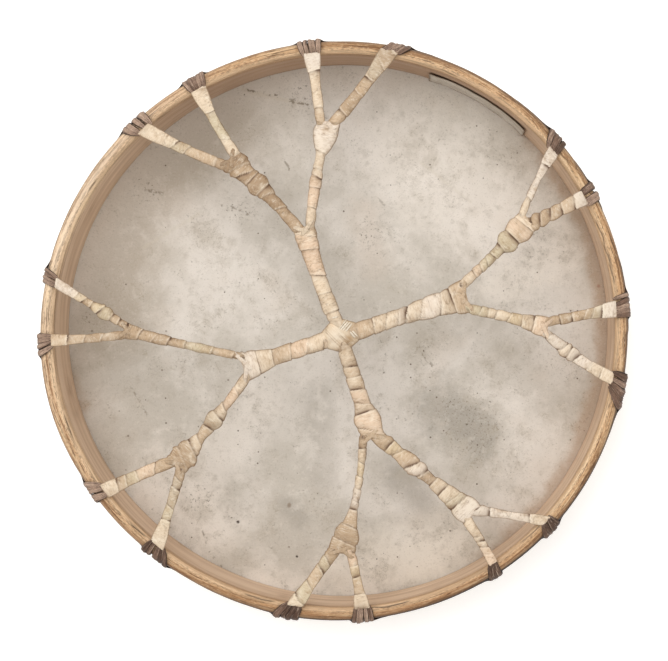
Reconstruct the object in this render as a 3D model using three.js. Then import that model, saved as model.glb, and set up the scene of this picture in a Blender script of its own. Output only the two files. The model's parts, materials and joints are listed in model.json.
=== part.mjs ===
import * as THREE from "three";

// A ceremonial frame drum lying on its drumhead, seen from its open back, in millimetres and degrees.
// The origin is the centre of the drumhead's underside. Angles run anticlockwise from +X.

// Hoop: a bent-wood band that is taller than it is thick
const hoopRadius = 200;
const hoopDepth = 60;
const hoopWall = 8.5;
const frontRound = 3.5;
const backRound = 4;
const innerRound = 3;
const innerChamfer = 1;

// The bent hoop is a little out of round, so its outline swells by these waves
const hoopWaves = [
  { count: 2, swell: 1.6, crest: 5.5 },
  { count: 3, swell: 1.15, crest: 60 },
];

// Drumhead: one raw hide over the front edge and partly up the outside of the hoop
const hideThickness = 1;
const hideSkirt = 38;
const hemWave = { count: 7, height: 1.2, crest: 20 };

// Laces that hold the hide and the hand web
const laceThickness = 2.6;
const laceValley = 1;
const laceLegWidth = 3;
const laceHoleInset = 9;
const firstHoleAngle = -2.5;

// Hand web: wrapped rawhide limbs that fork twice between the centre knot and the rim
const hubCentre = { share: 0.028, angle: 325 };
const hubHeight = 12.5;
const trunkHeight = 11;
const boughHeight = 7.5;
const twigHeight = 6;
const strapThickness = 2.2;
const strapReach = 1;
const webSag = 1.5;

// Paper label inside the hoop
const labelFrom = 46.4;
const labelTo = 69.9;
const labelBottom = 6;
const labelTop = 38;
const labelThickness = 0.5;
const labelGap = 0.5;

// Gap between pieces that touch, and how finely the round forms are divided
const clearance = 0.3;
const hoopSegments = 68;
const limbSides = 8;
const labelSegments = 8;
const legStepAngle = 4.5;

// Every limb states its widths where it starts, at its waist and where it ends, and its swellings.
// A fork is placed by its share of the hoop's inner radius and its angle, and faces outward.
// The left branch of a fork comes first, as seen looking outward from the centre.
const web = [
  {
    name: "north",
    facing: 107,
    hubDistance: 10,
    startWidth: 9.8,
    waistWidth: 10.4,
    bow: 1.2,
    knots: [],
    fork: { share: 0.382, angle: 106.1, facing: 112, width: 15 },
    boughs: [
      {
        name: "north_west",
        startWidth: 8.2,
        waistWidth: 8,
        bow: -1.5,
        knots: [{ at: 0.6, extra: 4, reach: 0.2 }, { at: 0.82, extra: 3, reach: 0.15 }],
        fork: { share: 0.72, angle: 121, facing: 141, width: 17.8 },
        twigs: [
          { number: 7, angle: 133.4, startWidth: 7, waistWidth: 7.6, endWidth: 11.4,
            bow: 1, lashWidth: 19, lashShift: 0.8, strands: 4 },
          { number: 6, angle: 119.3, startWidth: 8.4, waistWidth: 7, endWidth: 12.4,
            bow: 1, lashWidth: 16.5, lashShift: 0, strands: 5 },
        ],
      },
      {
        name: "north_middle",
        startWidth: 6.2,
        waistWidth: 6.4,
        bow: 1.5,
        knots: [{ at: 0.4, extra: 2, reach: 0.25 }, { at: 0.7, extra: -1.6, reach: 0.12 }],
        fork: { share: 0.746, angle: 91.5, facing: 88, width: 16.6 },
        twigs: [
          { number: 5, angle: 94.5, startWidth: 6.4, waistWidth: 7, endWidth: 12.4,
            bow: 0, lashWidth: 15, lashShift: 0.4, strands: 5 },
          { number: 4, angle: 78.6, startWidth: 9, waistWidth: 8.2, endWidth: 13.4,
            bow: -1, lashWidth: 15, lashShift: -1.6, strands: 4, reach: 5 },
        ],
      },
    ],
  },
  {
    name: "east",
    facing: 12,
    hubDistance: 12.5,
    startWidth: 12.4,
    waistWidth: 11,
    bow: 0.5,
    knots: [{ at: 0.68, extra: 3, reach: 0.22 }],
    fork: { share: 0.481, angle: 14.4, facing: 15, width: 23.4 },
    boughs: [
      {
        name: "east_north_east",
        startWidth: 7.2,
        waistWidth: 7,
        bow: -0.6,
        knots: [{ at: 0.7, extra: 5, reach: 0.14 }, { at: 0.9, extra: 1.5, reach: 0.1 }],
        fork: { share: 0.789, angle: 29.4, facing: 48, width: 16.6 },
        twigs: [
          { number: 3, angle: 39.2, startWidth: 5.4, waistWidth: 4.8, endWidth: 9.8,
            bow: 1, lashWidth: 14, lashShift: 1.3, strands: 4 },
          { number: 2, angle: 27.9, startWidth: 10, waistWidth: 8.6, endWidth: 11.4,
            bow: 0, lashWidth: 13.5, lashShift: 0.3, strands: 4 },
        ],
      },
      {
        name: "east_south_east",
        startWidth: 6.2,
        waistWidth: 6.8,
        bow: 0.8,
        knots: [],
        fork: { share: 0.753, angle: 0.9, facing: 349, width: 14 },
        twigs: [
          { number: 1, angle: 4.4, startWidth: 6.6, waistWidth: 6.8, endWidth: 12.3,
            bow: 0, lashWidth: 16, lashShift: 0.6, strands: 5 },
          { number: 16, angle: 350.2, startWidth: 6.8, waistWidth: 7.6, endWidth: 9.4,
            bow: -2, knots: [{ at: 0.4, extra: 3, reach: 0.16 }],
            lashWidth: 22, lashShift: -2.3, strands: 5 },
        ],
      },
    ],
  },
  {
    name: "south",
    facing: 288,
    hubDistance: 10.5,
    startWidth: 9.8,
    waistWidth: 10.8,
    bow: 0,
    knots: [{ at: 0.8, extra: 2.5, reach: 0.14 }],
    fork: { share: 0.406, angle: 290.4, facing: 278, width: 19.4 },
    boughs: [
      {
        name: "south_east",
        startWidth: 12,
        waistWidth: 9.4,
        bow: 0,
        knots: [{ at: 0.34, extra: 3.4, reach: 0.12 }],
        fork: { share: 0.815, angle: 307, facing: 319, width: 17 },
        twigs: [
          { number: 15, angle: 318.3, startWidth: 9.6, waistWidth: 5.6, endWidth: 8.4,
            bow: 0, lashWidth: 15.5, lashShift: -0.6, strands: 4, reach: 3 },
          { number: 14, angle: 304.5, startWidth: 6.6, waistWidth: 6.4, endWidth: 7.4,
            bow: 0.5, lashWidth: 10, lashShift: -0.9, strands: 3 },
        ],
      },
      {
        name: "south_middle",
        startWidth: 5.6,
        waistWidth: 5,
        bow: 3,
        knots: [],
        fork: { share: 0.795, angle: 272, facing: 264, width: 19 },
        twigs: [
          { number: 13, angle: 275.9, startWidth: 5.6, waistWidth: 6.4, endWidth: 11.8,
            bow: 0.4, lashWidth: 15.5, lashShift: -0.2, strands: 5 },
          { number: 12, angle: 261.9, startWidth: 9, waistWidth: 8.4, endWidth: 11.8,
            bow: 0, lashWidth: 17, lashShift: -1.4, strands: 4 },
        ],
      },
    ],
  },
  {
    name: "west",
    facing: 200,
    hubDistance: 11,
    startWidth: 11.8,
    waistWidth: 11,
    bow: 0,
    knots: [{ at: 0.35, extra: 1, reach: 0.2 }],
    fork: { share: 0.339, angle: 202.1, facing: 197, width: 20 },
    boughs: [
      {
        name: "south_west",
        startWidth: 7,
        waistWidth: 6.8,
        bow: 1.2,
        knots: [{ at: 0.5, extra: 4, reach: 0.13 }, { at: 0.9, extra: 2, reach: 0.1 }],
        fork: { share: 0.744, angle: 220.5, facing: 228, width: 17 },
        twigs: [
          { number: 11, angle: 230.6, startWidth: 7.6, waistWidth: 6.8, endWidth: 12,
            bow: 0.5, lashWidth: 21, lashShift: 0.9, strands: 5 },
          { number: 10, angle: 215, startWidth: 9, waistWidth: 8.8, endWidth: 11.4,
            bow: -0.5, lashWidth: 15.5, lashShift: -1.3, strands: 5 },
        ],
      },
      {
        name: "west_middle",
        startWidth: 5.4,
        waistWidth: 5.8,
        bow: 0.6,
        knots: [],
        fork: { share: 0.736, angle: 180.1, facing: 165, width: 11.6 },
        twigs: [
          { number: 9, angle: 182, startWidth: 5.7, waistWidth: 6, endWidth: 9.2,
            bow: 0.6, lashWidth: 14.5, lashShift: 0.7, strands: 4 },
          { number: 8, angle: 170.2, startWidth: 5.4, waistWidth: 5.8, endWidth: 8,
            bow: 0, knots: [{ at: 0.3, extra: 3.4, reach: 0.14 }],
            lashWidth: 11.5, lashShift: -1.1, strands: 4 },
        ],
      },
    ],
  },
];

// Heights that follow from the sizes above
const hoopFront = hideThickness + clearance;
const rimTop = hoopFront + hoopDepth;
const strapLevel = rimTop + clearance + strapThickness / 2;
const hemTop = hideSkirt + hemWave.height;

const woodMaterial = new THREE.MeshStandardMaterial({ color: 0xcfa574, roughness: 0.7, metalness: 0 });
const hideMaterial = new THREE.MeshStandardMaterial({ color: 0xcfc3b0, roughness: 0.6, metalness: 0 });
const rawhideMaterial = new THREE.MeshStandardMaterial({ color: 0xdcc8a4, roughness: 0.55, metalness: 0 });
const laceMaterial = new THREE.MeshStandardMaterial({ color: 0x6b5242, roughness: 0.8, metalness: 0 });
const paperMaterial = new THREE.MeshStandardMaterial({ color: 0xc6c2bb, roughness: 0.9, metalness: 0 });

function radians(degrees) {
  return (degrees * Math.PI) / 180;
}

function degrees(angle) {
  return (angle * 180) / Math.PI;
}

function smooth(share) {
  const held = Math.min(1, Math.max(0, share));
  return held * held * (3 - 2 * held);
}

function direction(angle) {
  return new THREE.Vector3(Math.cos(radians(angle)), Math.sin(radians(angle)), 0);
}

function outlineRadius(angle) {
  let radius = hoopRadius;
  for (const wave of hoopWaves) {
    radius += wave.swell * Math.cos(radians(wave.count * (angle - wave.crest)));
  }
  return radius;
}

// A point beside the hoop's outer face: outward is measured from that face, below zero towards the centre
function besideHoop(angle, outward, height) {
  return direction(angle).multiplyScalar(outlineRadius(angle) + outward).setZ(height);
}

function webLevel(share) {
  return strapLevel - webSag * (1 - share);
}

function webPoint({ share, angle }) {
  return direction(angle).multiplyScalar(share * (outlineRadius(angle) - hoopWall)).setZ(webLevel(share));
}

function closedGeometry(points, triangles) {
  const geometry = new THREE.BufferGeometry();
  const coordinates = points.flatMap((point) => point.toArray());
  geometry.setAttribute("position", new THREE.Float32BufferAttribute(coordinates, 3));
  geometry.setIndex(triangles);
  geometry.computeVertexNormals();
  return geometry;
}

// Skins a row of rings that have the same number of points. A row that doesn't close gets flat ends.
function loft(rings, rowCloses) {
  const size = rings[0].length;
  const points = rings.flat();
  const triangles = [];
  const spans = rowCloses ? rings.length : rings.length - 1;
  for (let row = 0; row < spans; row += 1) {
    const next = (row + 1) % rings.length;
    for (let side = 0; side < size; side += 1) {
      const beside = (side + 1) % size;
      const near = row * size + side;
      const nearBeside = row * size + beside;
      const far = next * size + side;
      const farBeside = next * size + beside;
      triangles.push(near, nearBeside, farBeside, near, farBeside, far);
    }
  }
  if (!rowCloses) {
    const lastRow = rings.length - 1;
    const middleOf = (ring) => ring.reduce((sum, point) => sum.add(point), new THREE.Vector3())
      .divideScalar(size);
    points.push(middleOf(rings[0]), middleOf(rings[lastRow]));
    const firstMiddle = points.length - 2;
    const lastMiddle = points.length - 1;
    for (let side = 0; side < size; side += 1) {
      const beside = (side + 1) % size;
      triangles.push(firstMiddle, beside, side);
      triangles.push(lastMiddle, lastRow * size + side, lastRow * size + beside);
    }
  }
  return closedGeometry(points, triangles);
}

// One ring right round the hoop, at a distance outside its outer face and a height that may vary
function ringBesideHoop(outward, heightAt) {
  const ring = [];
  for (let segment = 0; segment < hoopSegments; segment += 1) {
    const angle = (360 * segment) / hoopSegments;
    ring.push(besideHoop(angle, outward, heightAt(angle)));
  }
  return ring;
}

// Points of a quarter round from one direction to another, about a centre in the hoop's section
function quarterRound(outward, height, radius, from, to, steps) {
  const arc = [];
  for (let step = 0; step <= steps; step += 1) {
    const turn = radians(from + ((to - from) * step) / steps);
    arc.push([outward + radius * Math.cos(turn), height + radius * Math.sin(turn)]);
  }
  return arc;
}

function makeHoop() {
  const section = [
    ...quarterRound(-frontRound, hoopFront + frontRound, frontRound, -90, 0, 2),
    ...quarterRound(-backRound, rimTop - backRound, backRound, 0, 90, 3),
    ...quarterRound(innerRound - hoopWall, rimTop - innerRound, innerRound, 90, 180, 2),
    [-hoopWall, hoopFront + innerChamfer],
    [innerChamfer - hoopWall, hoopFront],
  ];
  const rings = section.map(([outward, height]) => ringBesideHoop(outward, () => height));
  return new THREE.Mesh(loft(rings, true), woodMaterial);
}

function hemHeight(angle) {
  return hideSkirt + hemWave.height * Math.cos(radians(hemWave.count * (angle - hemWave.crest)));
}

function makeDrumhead() {
  const innerCorner = frontRound + clearance;
  const outerCorner = innerCorner + hideThickness;
  const cornerHeight = hoopFront + frontRound;
  const insideFace = clearance;
  const outsideFace = clearance + hideThickness;
  const under = quarterRound(-frontRound, cornerHeight, outerCorner, -90, 0, 2);
  const above = quarterRound(-frontRound, cornerHeight, innerCorner, 0, -90, 2);
  const rings = [
    ...under.map(([outward, height]) => ringBesideHoop(outward, () => height)),
    ringBesideHoop(outsideFace, hemHeight),
    ringBesideHoop(insideFace, hemHeight),
    ...above.map(([outward, height]) => ringBesideHoop(outward, () => height)),
  ];
  return new THREE.Mesh(loft(rings, false), hideMaterial);
}

// One ring of a limb: flat above and below, at a place along its own +X, turned about the vertical
function limbRing(centre, facing, width, height) {
  const across = direction(facing + 90);
  const ring = [];
  for (let side = 0; side < limbSides; side += 1) {
    const turn = radians((360 * (side + 0.5)) / limbSides);
    const corner = 1 / Math.cos(Math.PI / limbSides);
    const point = centre.clone().addScaledVector(across, (Math.cos(turn) * corner * width) / 2);
    point.z += (Math.sin(turn) * corner * height) / 2;
    ring.push(point);
  }
  return ring;
}

// A wrapped limb from one face to another. It starts flush with the face behind it and ends square to
// its own last face, so that the limbs of a fork meet face to face with only the clearance between them.
function makeLimb(limb) {
  const span = limb.end.clone().sub(limb.start);
  const length = Math.hypot(span.x, span.y);
  const heading = degrees(Math.atan2(span.y, span.x));
  const rings = [];
  for (let row = 0; row <= limb.rows; row += 1) {
    const share = row / limb.rows;
    const flatShare = Math.min(1, share / limb.settlesAt);
    const centre = new THREE.Vector3(
      length * share,
      limb.bow * 4 * share * (1 - share),
      span.z * flatShare,
    );
    let width = limb.waistWidth;
    width += (limb.startWidth - limb.waistWidth) * (1 - smooth(share / 0.25));
    width += (limb.endWidth - limb.waistWidth) * smooth((share - 0.55) / 0.45);
    for (const knot of limb.knots) {
      width += knot.extra * (1 - smooth(Math.abs(share - knot.at) / knot.reach));
    }
    const height = limb.startHeight + (limb.endHeight - limb.startHeight) * smooth(flatShare);
    let facing = degrees(Math.atan2(limb.bow * 4 * (1 - 2 * share), length));
    if (row === 0) {
      facing = limb.startFacing - heading;
    } else if (row === limb.rows) {
      facing = limb.endFacing - heading;
    }
    rings.push(limbRing(centre, facing, width, height));
  }
  const mesh = new THREE.Mesh(loft(rings, false), rawhideMaterial);
  mesh.name = limb.name;
  mesh.position.copy(limb.start);
  mesh.rotation.z = radians(heading);
  return mesh;
}

// Where a branch starts on the face that ends its parent: flush with the left or the right side of it
function branchStart(fork, branch, side) {
  const aside = ((fork.width - branch.startWidth) / 2) * side;
  return webPoint(fork)
    .addScaledVector(direction(fork.facing), clearance)
    .addScaledVector(direction(fork.facing + 90), aside);
}

// The centre knot: a pillow whose sides are the faces that the trunks start from
function makeCentreKnot() {
  const centre = webPoint(hubCentre);
  const outline = [];
  for (const trunk of [...web].sort((one, other) => one.facing - other.facing)) {
    const face = direction(trunk.facing).multiplyScalar(trunk.hubDistance);
    const across = direction(trunk.facing + 90);
    outline.push(face.clone().addScaledVector(across, -trunk.startWidth / 2));
    outline.push(face.clone().addScaledVector(across, trunk.startWidth / 2));
  }
  const layers = [
    { level: -0.5, share: 0.6 },
    { level: -0.3, share: 0.94 },
    { level: 0, share: 1 },
    { level: 0.3, share: 0.94 },
    { level: 0.5, share: 0.6 },
  ];
  const rings = layers.map(({ level, share }) => outline.map((point) => new THREE.Vector3(
    point.x * share,
    point.y * share,
    level * hubHeight,
  )));
  const mesh = new THREE.Mesh(loft(rings, false), rawhideMaterial);
  mesh.name = "centre_knot";
  mesh.position.copy(centre);
  return mesh;
}

function makeTwig(twig, fork, side) {
  const reach = twig.reach ?? strapReach;
  return makeLimb({
    ...twig,
    name: `twig_${String(twig.number).padStart(2, "0")}`,
    knots: twig.knots ?? [],
    start: branchStart(fork, twig, side),
    startFacing: fork.facing,
    startHeight: twigHeight,
    end: besideHoop(twig.angle, reach - hoopWall, strapLevel),
    endFacing: twig.angle,
    endHeight: strapThickness,
    settlesAt: 0.85,
    rows: 6,
  });
}

function makeHandWeb() {
  const group = new THREE.Group();
  group.add(makeCentreKnot());
  for (const trunk of web) {
    group.add(makeLimb({
      ...trunk,
      name: `trunk_${trunk.name}`,
      start: webPoint(hubCentre).addScaledVector(direction(trunk.facing), trunk.hubDistance + clearance),
      startFacing: trunk.facing,
      startHeight: trunkHeight,
      end: webPoint(trunk.fork),
      endFacing: trunk.fork.facing,
      endWidth: trunk.fork.width,
      endHeight: boughHeight,
      settlesAt: 1,
      rows: 8,
    }));
    trunk.boughs.forEach((bough, boughIndex) => {
      group.add(makeLimb({
        ...bough,
        name: `bough_${bough.name}`,
        start: branchStart(trunk.fork, bough, boughIndex === 0 ? 1 : -1),
        startFacing: trunk.fork.facing,
        startHeight: boughHeight,
        end: webPoint(bough.fork),
        endFacing: bough.fork.facing,
        endWidth: bough.fork.width,
        endHeight: twigHeight,
        settlesAt: 1,
        rows: 9,
      }));
      bough.twigs.forEach((twig, twigIndex) => {
        group.add(makeTwig(twig, bough.fork, twigIndex === 0 ? 1 : -1));
      });
    });
  }
  return group;
}

// The path of a lace in the hoop's section: from the strap's end over the rim and down to its hole.
// Each stop gives the underside's place and the direction that the lace's thickness grows in.
function lacePath(reach) {
  const startOutward = reach + clearance - hoopWall;
  const round = backRound + clearance;
  const pastCrown = Math.max(0, startOutward + backRound);
  const startHeight = rimTop - backRound + Math.sqrt(round * round - pastCrown * pastCrown);
  const diagonal = round / Math.cos(Math.PI / 8) / Math.SQRT2;
  const overHem = clearance + hideThickness + clearance;
  const crown = [{ outward: startOutward, height: startHeight, tilt: 90 }];
  if (startOutward < -backRound) {
    crown.push({ outward: -backRound, height: rimTop + clearance, tilt: 80 });
  }
  crown.push({ outward: diagonal - backRound, height: rimTop - backRound + diagonal, tilt: 45 });
  crown.push({ outward: clearance, height: rimTop - backRound - 1, tilt: 8 });
  const leg = [
    { outward: overHem, height: hemTop + clearance, tilt: 0 },
    { outward: overHem, height: hideSkirt - laceHoleInset, tilt: 0 },
  ];
  return { crown, leg };
}

// The five corners of a lace's section at one stop: two below, two low shoulders and a ridge
function laceSection(angle, width, stop) {
  const half = degrees(width / 2 / outlineRadius(angle));
  const at = (turn, rise) => besideHoop(
    angle + turn,
    stop.outward + rise * Math.cos(radians(stop.tilt)),
    stop.height + rise * Math.sin(radians(stop.tilt)),
  );
  return [at(-half, 0), at(half, 0), at(half, laceValley), at(0, laceThickness), at(-half, laceValley)];
}

// The stops of one leg on its slanting way to its hole, close enough together to follow the round hoop
function legStops(crownAngle, holeAngle, crownEnd, leg) {
  const drop = crownEnd.height - leg[leg.length - 1].height;
  const stops = [];
  let before = { ...crownEnd, angle: crownAngle };
  for (const corner of leg) {
    const share = (crownEnd.height - corner.height) / drop;
    const after = { ...corner, angle: crownAngle + (holeAngle - crownAngle) * share };
    const steps = Math.max(1, Math.ceil(Math.abs(after.angle - before.angle) / legStepAngle));
    for (let step = 1; step <= steps; step += 1) {
      const stop = {};
      for (const key of ["outward", "height", "tilt", "angle"]) {
        stop[key] = before[key] + ((after[key] - before[key]) * step) / steps;
      }
      stops.push(stop);
    }
    before = after;
  }
  return stops;
}

// One lashing: laces that lie side by side over the rim and part below it, each to its own hole
function makeLashing(tie, holeAngles) {
  const { crown, leg } = lacePath(tie.reach ?? strapReach);
  const points = [];
  const triangles = [];
  const laceWidth = tie.lashWidth / tie.strands;
  const spacing = degrees(laceWidth / outlineRadius(tie.angle));
  const crownAngle = (strand) => tie.angle + tie.lashShift + (strand - (tie.strands - 1) / 2) * spacing;
  const addPoint = (point) => points.push(point) - 1;

  // Neighbours share their side edge along the crown, so that the lashing is one solid
  const crownRows = crown.map((stop) => {
    const sections = [];
    for (let strand = 0; strand < tie.strands; strand += 1) {
      const corners = laceSection(crownAngle(strand), laceWidth, stop);
      const before = sections[strand - 1];
      const low = before ? before[1] : addPoint(corners[0]);
      const shoulder = before ? before[2] : addPoint(corners[4]);
      sections.push([low, addPoint(corners[1]), addPoint(corners[2]), addPoint(corners[3]), shoulder]);
    }
    return sections;
  });
  const addSpan = (near, far, sides) => {
    for (const side of sides) {
      const beside = (side + 1) % 5;
      triangles.push(near[side], near[beside], far[beside], near[side], far[beside], far[side]);
    }
  };
  for (let row = 0; row + 1 < crownRows.length; row += 1) {
    for (let strand = 0; strand < tie.strands; strand += 1) {
      const sides = [0, 2, 3];
      if (strand === 0) {
        sides.push(4);
      }
      if (strand === tie.strands - 1) {
        sides.push(1);
      }
      addSpan(crownRows[row][strand], crownRows[row + 1][strand], sides);
    }
  }
  for (const section of crownRows[0]) {
    const [lowLeft, lowRight, right, ridge, left] = section;
    triangles.push(lowLeft, right, lowRight, lowLeft, ridge, right, lowLeft, left, ridge);
  }
  for (let strand = 0; strand < tie.strands; strand += 1) {
    let near = crownRows[crownRows.length - 1][strand];
    for (const stop of legStops(crownAngle(strand), holeAngles[strand], crown[crown.length - 1], leg)) {
      const far = laceSection(stop.angle, Math.min(laceLegWidth, laceWidth), stop).map(addPoint);
      addSpan(near, far, [0, 1, 2, 3, 4]);
      near = far;
    }
    const [lowLeft, lowRight, right, ridge, left] = near;
    triangles.push(lowLeft, lowRight, right, lowLeft, right, ridge, lowLeft, ridge, left);
  }
  const mesh = new THREE.Mesh(closedGeometry(points, triangles), laceMaterial);
  mesh.name = `lashing_${String(tie.number).padStart(2, "0")}`;
  return mesh;
}

// The holes in the hide's hem are evenly spaced, and each lashing takes the next few of them
function makeLashings() {
  const group = new THREE.Group();
  const ties = web.flatMap((trunk) => trunk.boughs.flatMap((bough) => bough.twigs));
  ties.sort((one, other) => one.number - other.number);
  const holeCount = ties.reduce((sum, tie) => sum + tie.strands, 0);
  let hole = 0;
  for (const tie of ties) {
    const holeAngles = [];
    for (let strand = 0; strand < tie.strands; strand += 1) {
      holeAngles.push(firstHoleAngle + (360 * hole) / holeCount);
      hole += 1;
    }
    group.add(makeLashing(tie, holeAngles));
  }
  return group;
}

function makePaperLabel() {
  const outside = -hoopWall - labelGap;
  const inside = outside - labelThickness;
  const rings = [];
  for (let segment = 0; segment <= labelSegments; segment += 1) {
    const angle = labelFrom + ((labelTo - labelFrom) * segment) / labelSegments;
    rings.push([
      besideHoop(angle, outside, labelTop),
      besideHoop(angle, outside, labelBottom),
      besideHoop(angle, inside, labelBottom),
      besideHoop(angle, inside, labelTop),
    ]);
  }
  const mesh = new THREE.Mesh(loft(rings, false), paperMaterial);
  mesh.name = "paper_label";
  return mesh;
}

const drum = new THREE.Group();
const hoop = makeHoop();
hoop.name = "hoop";
const drumhead = makeDrumhead();
drumhead.name = "drumhead";
drum.add(drumhead, hoop, makePaperLabel(), makeHandWeb(), makeLashings());

export default drum;
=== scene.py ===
# %% [markdown]
# This script dresses a hand-made frame drum that lies on its drumhead, open back up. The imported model
# gives every piece's real place, so the script starts by loading it and measures what it needs from it.

import json
import math

import bpy
import numpy as np
from mathutils import Matrix, Vector
from mathutils.bvhtree import BVHTree

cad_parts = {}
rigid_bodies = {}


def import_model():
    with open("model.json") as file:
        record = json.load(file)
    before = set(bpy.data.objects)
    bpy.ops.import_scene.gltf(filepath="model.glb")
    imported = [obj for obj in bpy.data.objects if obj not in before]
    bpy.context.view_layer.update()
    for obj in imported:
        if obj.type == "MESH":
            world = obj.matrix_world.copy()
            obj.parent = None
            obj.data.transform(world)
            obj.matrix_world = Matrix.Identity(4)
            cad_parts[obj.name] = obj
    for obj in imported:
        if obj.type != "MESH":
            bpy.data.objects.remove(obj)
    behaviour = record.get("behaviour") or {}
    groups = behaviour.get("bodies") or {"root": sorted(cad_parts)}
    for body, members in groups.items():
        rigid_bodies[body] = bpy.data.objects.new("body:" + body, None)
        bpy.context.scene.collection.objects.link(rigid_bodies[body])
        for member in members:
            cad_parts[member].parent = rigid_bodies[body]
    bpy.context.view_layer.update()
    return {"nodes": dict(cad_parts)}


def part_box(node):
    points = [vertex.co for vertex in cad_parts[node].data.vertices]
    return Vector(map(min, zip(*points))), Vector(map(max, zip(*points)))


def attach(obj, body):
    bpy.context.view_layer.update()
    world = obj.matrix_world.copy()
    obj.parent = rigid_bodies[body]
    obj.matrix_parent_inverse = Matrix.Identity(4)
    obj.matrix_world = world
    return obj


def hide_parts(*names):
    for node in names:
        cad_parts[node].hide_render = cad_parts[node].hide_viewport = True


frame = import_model()
nodes = frame["nodes"]
mm = 0.001

# %% [markdown]
# Blender builds materials and geometry trees from the same parts: nodes, options and links. Small helpers
# keep the rest of the script readable. They add to the tree that is being built, and every cell that builds
# one calls it tree. Colours are written as the eye sees them, from 0 to 255.

# %% Node helpers
tree = None


def add(kind, sockets=None, **options):
    """One node. Options are its own settings; sockets are its inputs, each linked or given a value."""
    node = tree.nodes.new(kind)
    for option, value in options.items():
        setattr(node, option, value)
    for key, value in (sockets or {}).items():
        if isinstance(value, bpy.types.NodeSocket):
            tree.links.new(value, node.inputs[key])
        else:
            node.inputs[key].default_value = value
    return node


def sums(operation, first, second=0.0, third=0.0):
    """One step of arithmetic on single numbers."""
    sockets = {0: first, 1: second, 2: third}
    return add("ShaderNodeMath", sockets, operation=operation).outputs[0]


def times(first, second):
    return sums("MULTIPLY", first, second)


def plus(first, second):
    return sums("ADD", first, second)


def minus(first, second):
    return sums("SUBTRACT", first, second)


def times_plus(first, second, third):
    """The first two multiplied, with the third added."""
    return sums("MULTIPLY_ADD", first, second, third)


def arrows(operation, first, second=(0, 0, 0)):
    """One step of arithmetic on places. To scale one, the second value is a number."""
    sockets = {0: first, "Scale" if operation == "SCALE" else 1: second}
    outputs = add("ShaderNodeVectorMath", sockets, operation=operation).outputs
    return outputs["Value" if operation in ("LENGTH", "DOT_PRODUCT") else "Vector"]


def set_inputs(node, values):
    for name, value in values.items():
        node.inputs[name].default_value = value


def colour(red, green, blue):
    """A colour as seen on a screen, turned into the linear values that a shader mixes."""
    seen = [red / 255, green / 255, blue / 255]
    linear = [c / 12.92 if c <= 0.04045 else ((c + 0.055) / 1.055) ** 2.4 for c in seen]
    return (*linear, 1.0)


print("helpers ready")

# %% [markdown]
# The photograph looks down into the open back from about 1.3 metres, a little from the right. The lens is
# worked out from how large the rim looks, and the depth of the hoop from how much smaller the drumhead looks.

# %% Camera
hoop_low, hoop_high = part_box("hoop")
rim_top = hoop_high.z
camera_above_rim = 1.262
camera_to_right = 0.063
camera_lens = 99.4
aim = Vector((0.3 * mm, 0, rim_top))

camera = bpy.data.objects.new("camera", bpy.data.cameras.new("camera"))
bpy.context.collection.objects.link(camera)
camera.data.sensor_width = 36
camera.data.lens = camera_lens
camera.location = (camera_to_right, 0, rim_top + camera_above_rim)
ahead = (aim - camera.location).normalized()
right = ahead.cross(Vector((0, 1, 0))).normalized()
camera.rotation_mode = "QUATERNION"
camera.rotation_quaternion = Matrix((right, right.cross(ahead), -ahead)).transposed().to_quaternion()
bpy.context.scene.camera = camera
print("camera at", [round(v, 3) for v in camera.location])

# %% [markdown]
# The light in the photograph is soft and comes from the upper left: the wall there shades the drumhead, and
# every limb of the web has a darker lower right edge. One large lamp gives that, and the sky fills the rest.

# %% Light and floor
sky_strength = 0.88
sky_colour = (1.0, 0.99, 0.975, 1)
lamp_power = 27.0
lamp_size = 2.0
lamp_place = Vector((-0.5, 0.95, 2.1))
floor_reach = 4.0
floor_level = -0.4 * mm
floor_white = (0.95, 0.95, 0.95, 1)
floor_glow = 0.28

world = bpy.data.worlds.new("studio")
bpy.context.scene.world = world
world.use_nodes = True
set_inputs(world.node_tree.nodes["Background"], {"Color": sky_colour, "Strength": sky_strength})

lamp = bpy.data.objects.new("soft_lamp", bpy.data.lights.new("soft_lamp", "AREA"))
lamp.data.shape = "DISK"
lamp.data.size = lamp_size
lamp.data.energy = lamp_power
lamp.location = lamp_place
lamp.rotation_mode = "QUATERNION"
lamp.rotation_quaternion = (-lamp_place).to_track_quat("-Z", "Y")
bpy.context.collection.objects.link(lamp)

floor_mesh = bpy.data.meshes.new("floor")
corners = [(x * floor_reach, y * floor_reach, floor_level) for x, y in ((-1, -1), (1, -1), (1, 1), (-1, 1))]
floor_mesh.from_pydata(corners, [], [(0, 1, 2, 3)])
floor = bpy.data.objects.new("floor", floor_mesh)
bpy.context.collection.objects.link(floor)
paint = bpy.data.materials.new("pale_floor")
paint.use_nodes = True
set_inputs(paint.node_tree.nodes["Principled BSDF"], {
    "Base Color": floor_white, "Roughness": 0.9,
    "Emission Color": (1, 1, 1, 1), "Emission Strength": floor_glow})
floor_mesh.materials.append(paint)
bpy.context.scene.view_settings.view_transform = "Standard"
print("lamp, sky and floor ready")

# %% [markdown]
# The hoop, the hide and the laces all follow one outline, which isn't quite round. Reading it from the hoop's
# own solid means that every finished piece still fits if the drum's size changes.

# %% Measure the outline


def solid_points(name):
    """The different corners of a solid, as rows of x, y and z."""
    mesh = nodes[name].data
    points = np.empty(len(mesh.vertices) * 3)
    mesh.vertices.foreach_get("co", points)
    return np.unique(points.reshape(-1, 3).round(7), axis=0)


def polar(points):
    """Angle in degrees from +X and distance from the drum's axis."""
    return np.degrees(np.arctan2(points[:, 1], points[:, 0])) % 360, np.hypot(points[:, 0], points[:, 1])


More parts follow.
